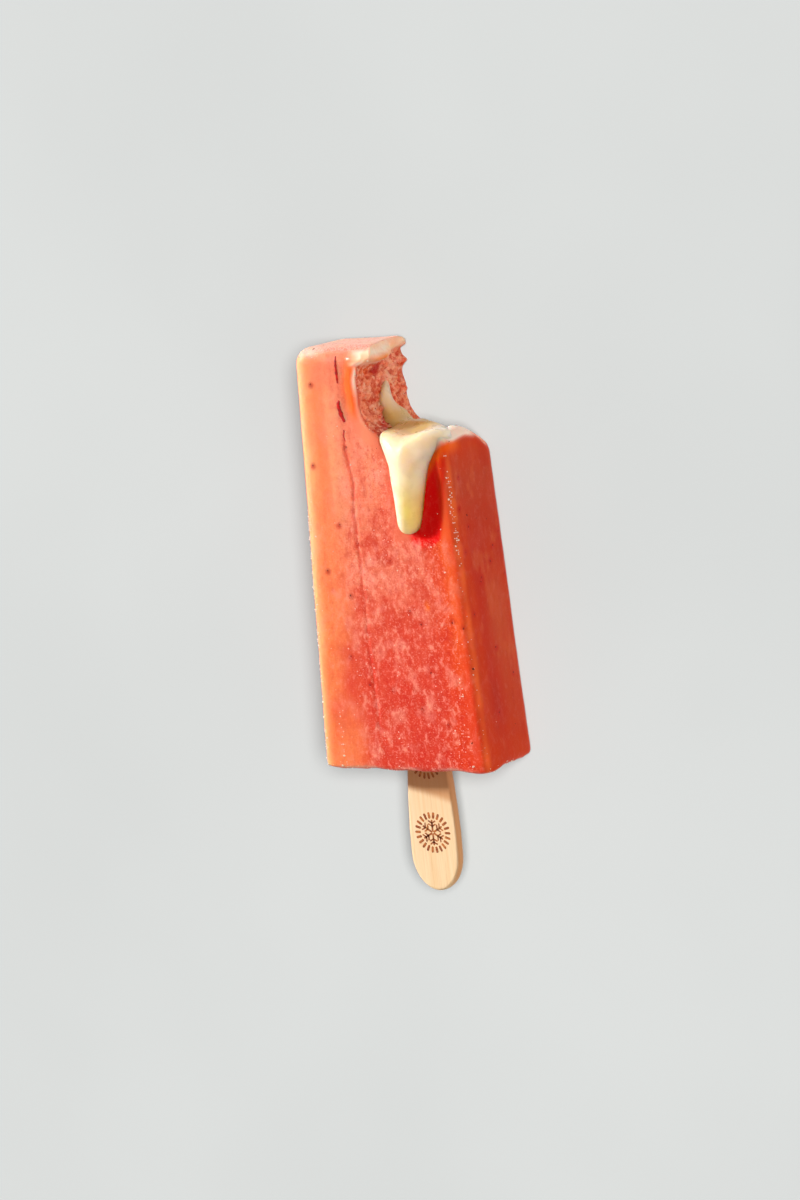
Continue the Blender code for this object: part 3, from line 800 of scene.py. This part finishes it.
def drip_field(x, y, z):
    """The drip down the front: an elliptic column that flares into a thin apron at the edge."""
    middle = along(y, DRIP_STATIONS, 1)
    half = along(y, DRIP_STATIONS, 2)
    proud = along(y, DRIP_STATIONS, 3)
    across = (x - middle) / half
    off = off_face(x, y, z)
    ring = np.sqrt(across**2 + (off / proud) ** 2)
    column = (ring - 1.0) * np.minimum(half, proud)
    left = np.sqrt(np.clip(1.0 - np.clip(-across, 0.0, 1.0) ** 2, 0.0, 1.0))
    right = (1.0 - np.clip(across, 0.0, 1.0)) ** 1.9
    height = proud * np.where(across < 0.0, left, right) - 1.2 * np.clip(np.abs(across) - 1.0, 0.0, 9.0) * half
    apron = np.maximum(np.maximum(off - height, -1.6 - off), depth(y) - 3.6 - z)
    share = smooth(y, 77.0, 84.0)
    flow = (column + share * (apron - column)) * 0.8
    brim = y - floor_y(x, depth(y)) - along(x, BRIM_STATIONS, 1)
    return np.maximum(cut_smooth(flow, brim, np.interp(x, (11.0, 18.0), (5.0, 1.2))), DRIP_STATIONS[0][0] - y)


def flow_field(x, y, z):
    """All of the filling that shows: pool, drip and tongue."""
    flow = join_smooth(pool_field(x, y, z), drip_field(x, y, z), 4.0)
    return join_smooth(flow, tongue_field(x, y, z), 2.0)


def cream_field(x, y, z):
    return np.minimum(flow_field(x, y, z), core_field(x, y, z))


def surface_net(field, low, step):
    """A mesh of even quads on a grid field's zero surface: one point in each cell that it
    crosses, at the mean of the crossings on the cell's edges."""
    inner = field < 0.0
    cells = tuple(n - 1 for n in field.shape)
    total = np.zeros(cells + (3,))
    count = np.zeros(cells)
    crossings = []
    for axis in range(3):
        near = [slice(None)] * 3
        far = [slice(None)] * 3
        near[axis], far[axis] = slice(0, -1), slice(1, None)
        start, end = field[tuple(near)], field[tuple(far)]
        at = np.argwhere(inner[tuple(near)] != inner[tuple(far)])
        before = start[tuple(at.T)]
        share = before / (before - end[tuple(at.T)])
        place = at.astype(float)
        place[:, axis] += share
        side, other = (axis + 1) % 3, (axis + 2) % 3
        around = []
        for step_side, step_other in ((0, 0), (1, 0), (1, 1), (0, 1)):
            cell = at.copy()
            cell[:, side] -= step_side
            cell[:, other] -= step_other
            np.add.at(total, tuple(cell.T), place)
            np.add.at(count, tuple(cell.T), 1.0)
            around.append(cell)
        crossings.append((around, before < 0.0))
    used = count > 0
    number = np.cumsum(used.ravel()).reshape(cells) - 1
    points = total[used] / count[used][:, None] * step + low
    faces = []
    for around, outward in crossings:
        quads = np.column_stack([number[tuple(cell.T)] for cell in around])
        quads[~outward] = quads[~outward][:, ::-1]
        faces.append(quads)
    mesh = bpy.data.meshes.new("net")
    mesh.from_pydata(points, [], np.concatenate(faces).tolist())
    return mesh


def make_cream():
    low = np.array((-12.0, CORE_START_Y - 1.5, -0.5))
    high = np.array((25.0, CORE_END_Y + 2.5, OPEN_DEPTH + 7.5))
    axes = [np.arange(start, end, CREAM_STEP) for start, end in zip(low, high)]
    x, y, z = np.meshgrid(*axes, indexing="ij")
    mesh = surface_net(cream_field(x, y, z), low, CREAM_STEP)
    points = relax(mesh, piece_points(mesh), 6)
    set_points(mesh, points)
    points = points + piece_normals(mesh) * (0.1 * cloud(points, 6.0, 61, 2))[:, None]
    set_points(mesh, points)
    x, y, z = points.T
    # A painted glow of light through the drip's bulb, in gold, and painted shade, deeper, on the pool where the wall
    # shades it.
    tint = np.tile(CREAM, (len(points), 1))
    for other, share in (
        (CREAM_GLOW_GOLD, 0.85 * (1.0 - smooth(y, 67.0, 78.0)) * smooth(x, 9.8, 12.8)),
        (CREAM_DEEP, 0.95 * smooth(y, 82.5, 87.5) * (1.0 - smooth(z, 14.0, 29.0)) * (1.0 - smooth(y, 91.0, 96.0))),
        (RIM_FROST, 0.9 * smooth(x, 13.0, 18.5) * smooth(y, 76.0, 82.0)),
        (BITE_PALE, 0.8 * smooth(y, 90.0, 95.0)),
    ):
        tint = tint + share[:, None] * (other - tint)
    paint(mesh, "tint", tint)
    return add_piece("sweet_milk", mesh, cream_material(), ["cream_filling"])


# The stick


def wood_material():
    look = Recipe("pale_wood")
    fibres = look.noise(1.0, 5.0, 0.65, place=look.stretch((2600.0, 90.0, 2600.0)))
    streaks = look.noise(1.0, 3.0, 0.6, place=look.stretch((700.0, 22.0, 700.0)))
    colour = look.mix(look.band(streaks, 0.3, 0.7), WOOD, WOOD_WARM)
    colour = look.mix(look.math("MULTIPLY", look.band(fibres, 0.5, 0.75), 0.35), colour, WOOD_DARK)
    # Painted shadow and shade, darker and warmer.
    colour = look.mix(look.read("painted_shade"), colour, WOOD_SHADE)
    look.set(
        Base_Color=colour,
        Roughness=0.6,
        Normal=look.bump(fibres, 0.04, 0.6),
        Specular_IOR_Level=0.25,
    )
    return look.material


def make_stick():
    mesh = remeshed(cad_copy("stick"), STICK_VOXEL)
    points = relax(mesh, piece_points(mesh), 3)
    set_points(mesh, points)
    rise = 0.025 * cloud(points, (0.5, 14.0, 0.5), 81, 2) + 0.04 * cloud(points, (4.0, 20.0, 4.0), 83, 2)
    facing = piece_normals(mesh)
    set_points(mesh, points + facing * rise[:, None])
    # Painted shadow of the ice's end across the stick's top, its edge slanting, and painted shade on the stick's
    # sides.
    painted_shade = 0.75 * smooth(points[:, 1] + 0.28 * points[:, 0], -10.6, -8.0) * (facing[:, 2] > 0.0)
    paint(mesh, "painted_shade", np.maximum(painted_shade, 0.8 * smooth(np.abs(facing[:, 0]), 0.3, 0.9)))
    return add_piece("wooden_stick", mesh, wood_material(), ["stick"])


def capsule_outline(start, end, width, steps=6):
    """The outline of a bar with round ends, between two points of a plane."""
    start, end = np.array(start), np.array(end)
    heading = math.atan2(*(end - start)[::-1])
    outline = []
    for middle, turn in ((end, -0.5), (start, 0.5)):
        for i in range(steps + 1):
            angle = heading + math.pi * (turn + i / steps)
            outline.append(middle + width / 2 * np.array((math.cos(angle), math.sin(angle))))
    return outline


def scorch_bars():
    """The stick's plain ornament: a ring of dashes round a six-armed ice crystal, twice."""
    bars = []
    for middle_y in SCORCH_ROWS:
        middle = np.array((SCORCH_X, middle_y))

        def spot(angle, reach):
            return middle + reach * np.array((math.cos(angle), math.sin(angle)))

        for i in range(SCORCH_DASHES):
            angle = 2.0 * math.pi * i / SCORCH_DASHES
            bars.append((spot(angle, SCORCH_RING), spot(angle, SCORCH_RING + 1.1), 0.66))
        for arm in range(6):
            angle = math.pi * (arm / 3 + 1 / 6)
            bars.append((spot(angle, 0.5), spot(angle, 3.2), 0.5))
            for share, spread in ((1.7, 0.42), (2.5, 0.3)):
                for side in (-1, 1):
                    bars.append((spot(angle, share), spot(angle + side * spread, share + 0.75), 0.4))
    return [bar for bar in bars if max(bar[0][1], bar[1][1]) < -0.6]


def make_scorch():
    """The ornament burnt into the wood, as thin inlaid prisms."""
    top = STICK_TOP + 0.03
    points, faces = [], []
    for start, end, width in scorch_bars():
        outline = capsule_outline(start, end, width)
        first, count = len(points), len(outline)
        points += [(*spot, top) for spot in outline] + [(*spot, top - 0.2) for spot in outline]
        faces.append(tuple(range(first, first + count)))
        faces.append(tuple(range(first + 2 * count - 1, first + count - 1, -1)))
        for i in range(count):
            j = (i + 1) % count
            faces.append((first + i, first + count + i, first + count + j, first + j))
    mesh = bpy.data.meshes.new("scorch")
    mesh.from_pydata(points, [], faces)
    piece = add_piece("scorched_ornament", mesh, scorch_material())
    mesh.shade_flat()
    return piece


def scorch_material():
    look = Recipe("scorched_wood")
    burn = look.band(look.noise(1.6, 3.0, 0.6), 0.35, 0.65)
    look.set(Base_Color=look.mix(burn, SCORCH_DARK, SCORCH_LIGHT), Roughness=0.75)
    return look.material


# Small things in and on the ice


def ball(subdivisions):
    """A sphere's points and faces."""
    bm = bmesh.new()
    bmesh.ops.create_icosphere(bm, subdivisions=subdivisions, radius=1.0)
    points = np.array([vertex.co for vertex in bm.verts])
    faces = np.array([[vertex.index for vertex in face.verts] for face in bm.faces])
    bm.free()
    return points, faces


def turned(normals, draw):
    """For each normal, three axes with the third along it and the others turned at random."""
    helper = draw.normal(size=normals.shape)
    first = np.cross(normals, helper)
    first /= np.linalg.norm(first, axis=1)[:, None]
    return np.stack((first, np.cross(normals, first), normals), axis=1)


def scattered(name, places, axes, sizes, material, draw, subdivisions=1, rough=0.15):
    """One mesh of many small lumps, each with its own three half sizes and uneven surface."""
    points, faces = ball(subdivisions)
    count, each = len(places), len(points)
    lumps = points[None] * (1.0 + rough * draw.uniform(-1.0, 1.0, (count, each, 1)))
    lumps = np.einsum("nij,njk->nik", lumps * sizes[:, None, :], axes) + places[:, None, :]
    mesh = bpy.data.meshes.new(name)
    corners = (faces[None] + each * np.arange(count)[:, None, None]).reshape(-1, 3)
    mesh.from_pydata(lumps.reshape(-1, 3), [], corners.tolist())
    return add_piece(name, mesh, material)


def seed_material():
    look = Recipe("fruit_seeds")
    shade = look.band(look.noise(1.1), 0.35, 0.65)
    look.set(Base_Color=look.mix(shade, SEED_DARK, SEED_RED), Roughness=0.7, Specular_IOR_Level=0.15)
    return look.material


def frost_material():
    look = Recipe("frost_grains")
    shade = look.band(look.noise(0.8), 0.3, 0.7)
    look.set(
        Base_Color=look.mix(shade, FROST_GRAIN_AND_HIGHLIGHT, FROST_AND_HIGHLIGHT),
        Roughness=0.25,
        Subsurface_Weight=0.4,
        Subsurface_Radius=(0.5 * MM, 0.3 * MM, 0.25 * MM),
        IOR=1.33,
    )
    return look.material


def shred_material():
    look = Recipe("fruit_shreds")
    shade = look.band(look.noise(0.9, 2.0), 0.35, 0.7)
    look.set(
        Base_Color=look.mix(shade, SHRED_RED, SHRED_DEEP),
        Roughness=0.3,
        Subsurface_Weight=0.5,
        Subsurface_Radius=(1.0 * MM, 0.2 * MM, 0.1 * MM),
    )
    return look.material


def pick(weights, count, draw):
    """The indices of a random choice among surface points, by weight."""
    return draw.choice(len(weights), count, replace=False, p=weights / weights.sum())


def nearest(places, spots):
    """The indices of the surface points nearest to some spots."""
    tree = KDTree(len(places))
    for index, place in enumerate(places):
        tree.insert(place, index)
    tree.balance()
    return [tree.find(spot)[1] for spot in spots]


def make_seeds(places, normals, facts):
    draw = np.random.default_rng(91)
    at = nearest(places, SHOWN_SEEDS)
    free = (1.0 - facts["still"]) * (1.0 - facts["front"]) * (1.0 - facts["right"])
    free = (free + 0.1 * facts["front"] + 0.25 * facts["right"]) * (facts["start"][:, 2] > 0.8)
    at = np.concatenate((at, pick(free * (1.0 - facts["still"]), SEED_COUNT, draw)))
    spots, facing = places[at], normals[at]
    spots = spots - 0.06 * facing
    size = draw.uniform(0.17, 0.3, (len(spots), 1))
    sizes = size * np.column_stack(
        (draw.uniform(1.0, 1.7, len(spots)), np.full(len(spots), 0.9), np.full(len(spots), 0.55))
    )
    return scattered("fruit_seeds", spots, turned(facing, draw), sizes, seed_material(), draw)


def make_frost(places, normals, facts):
    """Grains of frost, in loose chains along the edges, the end's rim and the crease."""
    draw = np.random.default_rng(95)
    x, y, z = facts["start"].T
    facing = facts["facing"]
    outside = (1.0 - facts["still"]) * (1.0 - facts["bitten"]) * (z > 0.8)
    front = facts["front"]
    clumps = smooth(cloud(facts["start"], (4.0, 6.0, 4.0), 96, 2), 0.0, 0.45)
    chain_x = half_width(y) - 4.4 + 0.5 * noise(facts["start"], (20.0, 6.0, 20.0), 93)
    right = bell(x - chain_x, 0.0, 0.45) * (1.0 - smooth(y, 52.0, 60.0)) * front * (0.2 + clumps)
    left = bell(half_width(y) + x, 1.2, 0.8) * (1.0 - smooth(y, 60.0, 80.0)) * (0.3 + clumps)
    low_left = bell(half_width(y) + x, 7.5, 0.7) * (1.0 - smooth(y, 8.0, 26.0)) * front
    edge = bell(facing[:, 0] - facing[:, 2], 0.05, 0.12) * smooth(facing[:, 0] + facing[:, 2], 0.9, 1.3)
    edge = 1.6 * edge * (1.0 - smooth(y, 82.0, 85.0)) * (0.1 + 0.9 * smooth(y, 48.0, 60.0))
    rim = bell(y, 0.4, 0.7) * 0.35 * (0.3 + clumps)
    crease = bell(x - crease_x(y), 0.9, 0.4) * front * 0.5 * clumps
    corner = front * bell(x, 18.5, 2.0) * bell(y, 9.0, 7.0) * clumps
    scratch = np.abs(x - np.interp(y, (73.9, 81.1), (1.1, 4.2))) < 0.3
    scratch = scratch * (y > 74.0) * (y < 81.0) * front * 0.9
    scatter = 0.006 * np.maximum(front, 0.3) + 0.06 * front * clumps * (1.0 - smooth(y, 55.0, 70.0))
    lip = bell(facts["to_bite"], 0.6, 0.5) * smooth(y, 84.0, 90.0) * 0.5
    top = bell(x, -17.0, 4.0) * smooth(y, 107.0, 108.6) * smooth(z, 19.0, 21.0)
    weights = outside * (scatter + right + left + 0.6 * low_left + edge + rim + crease + corner + lip + top + scratch)
    at = pick(weights, FROST_COUNT, draw)
    size = draw.uniform(0.06, 0.14, len(at)) * draw.choice((1.0, 1.8), len(at), p=(0.86, 0.14))
    size *= 1.0 + 0.7 * np.clip(right + left + low_left + edge, 0.0, 1.0)[at]
    sizes = size[:, None] * draw.uniform(0.7, 1.3, (len(at), 3))
    return scattered("frost_grains", places[at], turned(normals[at], draw), sizes, frost_material(), draw, 1, 0.3)


def tube(path, normals, widths, thickness, sides=10):
    """A flat, closed, tapering strand along a path: its points and faces."""
    path, normals = np.array(path), np.array(normals)
    ahead = np.gradient(path, axis=0)
    across = np.cross(ahead, normals)
    across /= np.linalg.norm(across, axis=1)[:, None]
    points, faces = [], []
    for middle, out, side, width in zip(path, normals, across, widths):
        for i in range(sides):
            angle = 2.0 * math.pi * i / sides
            points.append(
                middle + side * width / 2 * math.cos(angle) + out * thickness / 2 * math.sin(angle)
            )
    count = len(path)
    for ring in range(count - 1):
        for i in range(sides):
            j = (i + 1) % sides
            a, b = ring * sides, (ring + 1) * sides
            faces.append((a + i, b + i, b + j, a + j))
    faces.append(tuple(range(sides)))
    faces.append(tuple(range(count * sides - 1, (count - 1) * sides - 1, -1)))
    return points, faces


def make_shreds(places, normals):
    """Strands and flakes of red fruit frozen into the surface."""
    draw = np.random.default_rng(97)
    all_points, all_faces = [], []
    for ends, bow, width, wobble in SHREDS:
        start, end = np.array(ends[0]), np.array(ends[1])
        share = np.linspace(0.0, 1.0, 16)
        line = start + (end - start) * share[:, None]
        side = np.cross(end - start, (0.0, 0.0, 1.0) if abs(start[2]) > 20.0 else (1.0, 0.0, 0.0))
        side /= np.linalg.norm(side)
        line = line + side * (bow * np.sin(math.pi * share) + wobble * noise(line, 1.3, 98))[:, None]
        at = nearest(places, line)
        path = relax_line(places[at], 6)
        facing = relax_line(normals[at], 6)
        path = path + facing * 0.02
        full = np.sin(math.pi * (0.08 + 0.84 * share)) ** 0.6
        widths = width * full * (1.0 + 0.25 * draw.uniform(-1.0, 1.0, len(share)))
        points, faces = tube(path, facing, widths, 0.36)
        first = len(all_points)
        all_points += points
        all_faces += [tuple(first + i for i in face) for face in faces]
    mesh = bpy.data.meshes.new("fruit_shreds")
    mesh.from_pydata(all_points, [], all_faces)
    return add_piece("fruit_shreds", mesh, shred_material())


def relax_line(values, rounds):
    values = np.array(values, float)
    for _ in range(rounds):
        values[1:-1] = (values[:-2] + 2.0 * values[1:-1] + values[2:]) / 4.0
    return values


# The stage


def add_light(name, kind, towards, energy, colour=(1.0, 1.0, 1.0), **settings):
    data = bpy.data.lights.new(name, kind)
    data.energy = energy
    data.color = colour
    for setting, value in settings.items():
        setattr(data, setting, value)
    light = bpy.data.objects.new(name, data)
    direction = Vector(towards).normalized()
    light.location = direction * LIGHT_AWAY
    light.rotation_mode = "QUATERNION"
    light.rotation_quaternion = direction.to_track_quat("Z", "Y")
    bpy.context.scene.collection.objects.link(light)
    return light


def make_camera():
    """A long lens that looks down on the lying pop, from its right and a little from its tip."""
    azimuth, elevation, roll = (math.radians(angle) for angle in CAMERA_TURN)
    away = Vector(
        (
            math.sin(azimuth) * math.cos(elevation),
            math.sin(elevation),
            math.cos(azimuth) * math.cos(elevation),
        )
    )
    across = Vector((0.0, 1.0, 0.0)).cross(away).normalized()
    upward = away.cross(across)
    right = math.cos(roll) * across + math.sin(roll) * upward
    top = math.cos(roll) * upward - math.sin(roll) * across
    place = away * CAMERA_AWAY - right * CAMERA_OFF[0] - top * CAMERA_OFF[1]
    place = (place + Vector((0.0, POP_LENGTH / 2 + POP_Y, MID_DEPTH))) * MM
    data = bpy.data.cameras.new("camera")
    data.sensor_fit = "VERTICAL"
    data.sensor_height = 36.0
    data.lens = CAMERA_LENS
    data.clip_end = 20.0
    camera = bpy.data.objects.new("camera", data)
    turn = Matrix((right, top, away)).transposed().to_4x4()
    camera.matrix_world = Matrix.Translation(place) @ turn
    bpy.context.scene.collection.objects.link(camera)
    bpy.context.scene.camera = camera


def floor_material():
    look = Recipe("studio_floor")
    mottle = look.band(look.noise(180.0, 3.0, 0.5), 0.3, 0.7)
    look.set(Base_Color=look.mix(mottle, FLOOR_GREY, FLOOR_PALE), Roughness=0.9)
    look.shader.inputs["Specular IOR Level"].default_value = 0.1
    return look.material


def make_floor():
    mesh = bpy.data.meshes.new("studio_floor")
    reach = FLOOR_HALF
    corners = [(-reach, -reach, 0.0), (reach, -reach, 0.0), (reach, reach, 0.0), (-reach, reach, 0.0)]
    mesh.from_pydata(corners, [], [(0, 1, 2, 3)])
    mesh.materials.append(floor_material())
    floor = bpy.data.objects.new("studio_floor", mesh)
    bpy.context.scene.collection.objects.link(floor)
    return floor


def make_light(floor):
    """A hard key from the upper left that only the pop sees, soft light from above for the floor,
    and a pale sky that is brightest at the horizon."""
    key = add_light("key", "SUN", KEY_FROM, KEY_ENERGY, KEY_COLOUR, angle=KEY_ANGLE)
    key.light_linking.receiver_collection = shown
    fill = add_light("fill", "SUN", FILL_FROM, FILL_ENERGY, FILL_COLOUR, angle=FILL_ANGLE)
    fill.light_linking.receiver_collection = shown
    soft = add_light("front_fill", "SUN", FRONT_FROM, FRONT_ENERGY, FRONT_COLOUR, angle=FRONT_ANGLE)
    soft.light_linking.receiver_collection = shown
    under = bpy.data.collections.new("floor_only")
    bpy.context.scene.collection.children.link(under)
    under.objects.link(floor)
    wash = add_light("floor_wash", "SUN", WASH_FROM, WASH_ENERGY, WASH_COLOUR, angle=WASH_ANGLE)
    wash.light_linking.receiver_collection = under
    world = bpy.data.worlds.new("studio")
    bpy.context.scene.world = world
    world.use_nodes = True
    nodes, links = world.node_tree.nodes, world.node_tree.links
    place = nodes.new("ShaderNodeTexCoord")
    axes = nodes.new("ShaderNodeSeparateXYZ")
    rise = nodes.new("ShaderNodeMath")
    rise.operation = "POWER"
    rise.use_clamp = True
    rise.inputs[1].default_value = SKY_CURVE
    blend = nodes.new("ShaderNodeMix")
    blend.data_type = "RGBA"
    blend.inputs[6].default_value = (*SKY_HORIZON, 1.0)
    blend.inputs[7].default_value = (*SKY_TOP, 1.0)
    links.new(place.outputs["Generated"], axes.inputs[0])
    links.new(axes.outputs["Z"], rise.inputs[0])
    links.new(rise.outputs[0], blend.inputs[0])
    links.new(blend.outputs[2], nodes["Background"].inputs["Color"])


ICE_VOXEL = 0.5
CREAM_STEP = 0.42
CORE_START_Y = 18.0
CORE_END_Y = 99.6
CORE_CAP = 7.0
CORE_PROUD = 1.0
BITE_CORNER = 6.5
NOTCH_DEPTH = 3.8
NOTCH_X = 11.6
NOTCH_REACH = 6.6
BACK_DROP = 7.0
POOL_BACK_Z = 1.2
# The pool at heights z through the ice: its left and right margins, and its thickness.
POOL_STATIONS = (
    (1.0, 2.0, 9.6, 1.4),
    (6.0, 2.2, 12.8, 1.8),
    (11.0, 2.2, 17.6, 2.1),
    (15.0, 2.3, 20.6, 2.3),
    (19.0, 2.7, 21.9, 2.5),
    (22.7, 3.3, 22.2, 2.8),
)
# The tongue on the wall at heights y: its middle's z, half width, and how far it stands out.
TONGUE_STATIONS = (
    (84.0, 8.6, 6.6, 5.6),
    (87.0, 8.4, 6.4, 5.4),
    (89.0, 8.0, 5.7, 4.2),
    (91.0, 7.9, 4.9, 2.9),
    (92.5, 9.0, 3.7, 2.0),
    (94.0, 10.1, 3.1, 1.6),
    (95.3, 10.3, 2.7, 1.3),
    (97.0, 10.0, 2.2, 1.1),
    (98.2, 9.4, 1.5, 0.9),
    (99.1, 8.8, 0.8, 0.5),
    (99.5, 8.7, 0.3, 0.3),
)
# The drip at heights y: its middle's x, half width, and how far it stands off the front.
DRIP_STATIONS = (
    (61.6, 10.0, 0.3, 0.3),
    (61.9, 10.0, 1.3, 1.7),
    (62.4, 10.05, 1.95, 2.6),
    (63.2, 10.15, 2.55, 3.3),
    (64.6, 10.35, 2.95, 4.1),
    (67.0, 10.7, 3.25, 4.6),
    (72.0, 11.2, 4.0, 5.0),
    (77.2, 11.45, 5.15, 4.6),
    (79.5, 11.75, 5.65, 4.1),
    (81.5, 12.15, 6.25, 3.5),
    (83.5, 12.2, 7.1, 2.9),
    (86.0, 12.7, 9.1, 2.3),
    (92.0, 12.95, 9.65, 2.0),
)
# How high the filling stands on the front edge, across it.
BRIM_STATIONS = ((2.0, 0.3), (4.0, 1.2), (8.0, 2.5), (12.0, 2.9), (16.0, 1.7), (19.0, 0.6), (22.0, 0.2))
UNDER_MILK = 1.3
BROW_OUT = 1.8
RIM_UP = 1.3
DRIP_SHADOW_EDGE_Y = (57.4, 58.4, 60.0, 65.2, 70.3, 75.4, 80.4, 84.0)
DRIP_SHADOW_EDGE_X = (14.5, 16.6, 19.0, 20.4, 21.0, 21.6, 22.2, 22.4)

CORAL = linear(220, 74, 54)
PEACH = linear(243, 140, 108)
DEEP_RED = linear(208, 44, 28)
ORANGE = linear(246, 118, 40)
SALMON = linear(250, 142, 86)
CREAM_EDGE = linear(253, 196, 146)
EDGE_RED = linear(226, 66, 24)
EDGE_HIGHLIGHT = linear(250, 122, 60)
SIDE_RED = linear(190, 36, 0)
SIDE_WARM = linear(190, 76, 40)
SIDE_PINK = linear(198, 66, 20)
SIDE_PALE = linear(208, 90, 48)
SIDE_ORANGE = linear(206, 56, 0)
SIDE_DEEP = linear(182, 36, 10)
DRIP_SHADOW_RED = linear(238, 0, 0)
LIP_GLOW_ORANGE = linear(246, 104, 4)
BITE_PINK = linear(240, 146, 112)
BITE_PALE = linear(250, 188, 162)
BITE_RED = linear(200, 52, 26)
FRUIT_RED = linear(190, 0, 0)
BITE_SHADE_RED = linear(176, 14, 6)
BROW_GLOW_ORANGE = linear(252, 132, 50)
BROW_PEACH = linear(254, 212, 180)
CRYSTAL_SIZE = 1.3
FROST_PINK = linear(226, 118, 94)
FIBRE_RED = linear(214, 60, 48)
FROST_AND_HIGHLIGHT = linear(250, 216, 198)
RIM_FROST = linear(255, 226, 212)
GRAIN_PALE = linear(252, 178, 156)
GRAIN_RED = linear(204, 40, 30)
VEIL = linear(248, 160, 142)
HALO = linear(190, 26, 8)
CREAM = linear(255, 229, 204)
CREAM_GLOW_GOLD = linear(255, 222, 132)
CREAM_DEEP = linear(206, 164, 92)
WOOD = linear(244, 216, 178)
WOOD_WARM = linear(238, 202, 156)
WOOD_SHADE = linear(196, 132, 78)
WOOD_DARK = linear(196, 150, 104)
FLOOR_GREY = linear(120, 121, 120)
FLOOR_PALE = linear(123, 124, 123)

STICK_VOXEL = 0.32
STICK_TOP = stick_high.z / MM
SCORCH_X = -0.6
SCORCH_ROWS = (0.4, -19.5)
SCORCH_DASHES = 22
SCORCH_RING = 4.1
SCORCH_DARK = linear(128, 56, 22)
SCORCH_LIGHT = linear(192, 112, 50)
SEED_COUNT = 70
SEED_DARK = linear(74, 16, 8)
SEED_RED = linear(150, 30, 14)
FROST_COUNT = 900
FROST_GRAIN_AND_HIGHLIGHT = linear(254, 232, 216)
SHRED_RED = linear(214, 16, 10)
SHRED_DEEP = linear(160, 10, 8)
# Paler and more orange spots in the front: where, how wide, what colour and how much.
BLOTCHES = (
    ((-2.3, 41.7), 1.7, VEIL, 0.6), ((-1.7, 57.9), 1.5, VEIL, 0.6), ((-3.2, 54.8), 1.9, VEIL, 0.65),
    ((4.3, 56.3), 1.8, VEIL, 0.6), ((1.6, 59.0), 1.5, VEIL, 0.55), ((-15.0, 46.0), 1.8, VEIL, 0.5),
    ((-12.0, 38.5), 2.2, VEIL, 0.4), ((3.5, 33.0), 2.4, VEIL, 0.45), ((0.5, 14.0), 3.0, VEIL, 0.45),
    ((10.5, 27.0), 2.0, VEIL, 0.4), ((12.7, 43.3), 1.5, ORANGE, 0.8), ((-8.5, 47.0), 1.5, DEEP_RED, 0.5),
    ((-6.3, 36.5), 1.3, DEEP_RED, 0.75), ((14.5, 51.0), 2.6, EDGE_RED, 0.6), ((5.0, 5.0), 3.6, DEEP_RED, 0.4),
)
# Seeds that show: on the front as (x, y), on the right side as (z, y).
FRONT_SEEDS = (
    (-6.6, 59.0), (2.8, 54.5), (7.0, 41.5), (10.3, 38.5), (-12.8, 29.5), (-10.6, 45.5), (19.8, 39.0),
    (23.0, 37.5), (-7.5, 84.0), (-0.5, 21.0), (-7.5, 22.5), (-16.2, 100.5), (-18.2, 79.5), (-12.0, 64.0),
    (8.0, 16.0), (15.5, 12.0), (-17.0, 52.0),
)
SIDE_SEEDS = (
    (18.3, 75.0), (16.8, 62.2), (3.7, 59.0), (7.4, 55.5), (9.3, 52.0), (14.0, 48.8), (14.7, 47.6),
    (3.3, 47.6), (19.7, 40.3), (19.8, 67.4), (19.7, 56.2), (12.0, 30.0), (6.0, 22.0), (15.0, 14.0),
)
SHOWN_SEEDS = [(x, y, depth(y)) for x, y in FRONT_SEEDS]
SHOWN_SEEDS += [(half_width(y), y, z) for z, y in SIDE_SEEDS]
# Shreds of fruit: their two ends, how far they bow, their width and how much they wander.
SHREDS = (
    (((-7.6, 107.6, 22.5), (-7.8, 100.8, 22.6)), 0.0, 0.75, 0.35),
    (((-8.0, 96.4, 22.6), (-6.9, 91.0, 22.7)), 0.5, 1.35, 0.0),
    (((-7.5, 88.8, 22.7), (-7.4, 85.6, 22.7)), 0.1, 0.3, 0.2),
    (((-1.5, 91.2, 10.6), (-0.6, 88.6, 14.6)), 0.2, 0.9, 0.2),
)

CAMERA_TURN = (35.08, 9.49, -6.41)
CAMERA_AWAY = 903.1
CAMERA_OFF = (1.604, 12.51)
CAMERA_LENS = 105.0
LIGHT_AWAY = 1.5
FLOOR_HALF = 3.0
KEY_FROM = (-0.81, 0.36, 0.45)
KEY_ENERGY = 4.9
KEY_COLOUR = (1.0, 0.97, 0.93)
KEY_ANGLE = 0.1
FILL_FROM = (0.95, 0.2, 0.22)
FILL_ENERGY = 1.2
FILL_COLOUR = (1.0, 0.82, 0.6)
FILL_ANGLE = 1.2
FRONT_FROM = (0.35, 0.0, 0.94)
FRONT_ENERGY = 0.5
FRONT_COLOUR = (1.0, 0.93, 0.82)
FRONT_ANGLE = 1.0
WASH_FROM = (0.567, 0.165, 0.807)
WASH_ENERGY = 13.55
WASH_COLOUR = (0.99, 1.0, 1.0)
WASH_ANGLE = 0.4
SKY_HORIZON = (0.74, 0.7, 0.64)
SKY_TOP = (0.1, 0.1, 0.105)
SKY_CURVE = 0.5

shown = bpy.data.collections.new("pop")
bpy.context.scene.collection.children.link(shown)
ice, ice_facts = make_ice()
ice_places = piece_points(ice.data) / MM - (0.0, POP_Y, 0.0)
ice_normals = piece_normals(ice.data)
make_cream()
make_stick()
make_scorch()
make_seeds(ice_places, ice_normals, ice_facts)
make_frost(ice_places, ice_normals, ice_facts)
make_shreds(ice_places, ice_normals)
make_light(make_floor())
make_camera()
bpy.context.scene.view_settings.view_transform = "Standard"
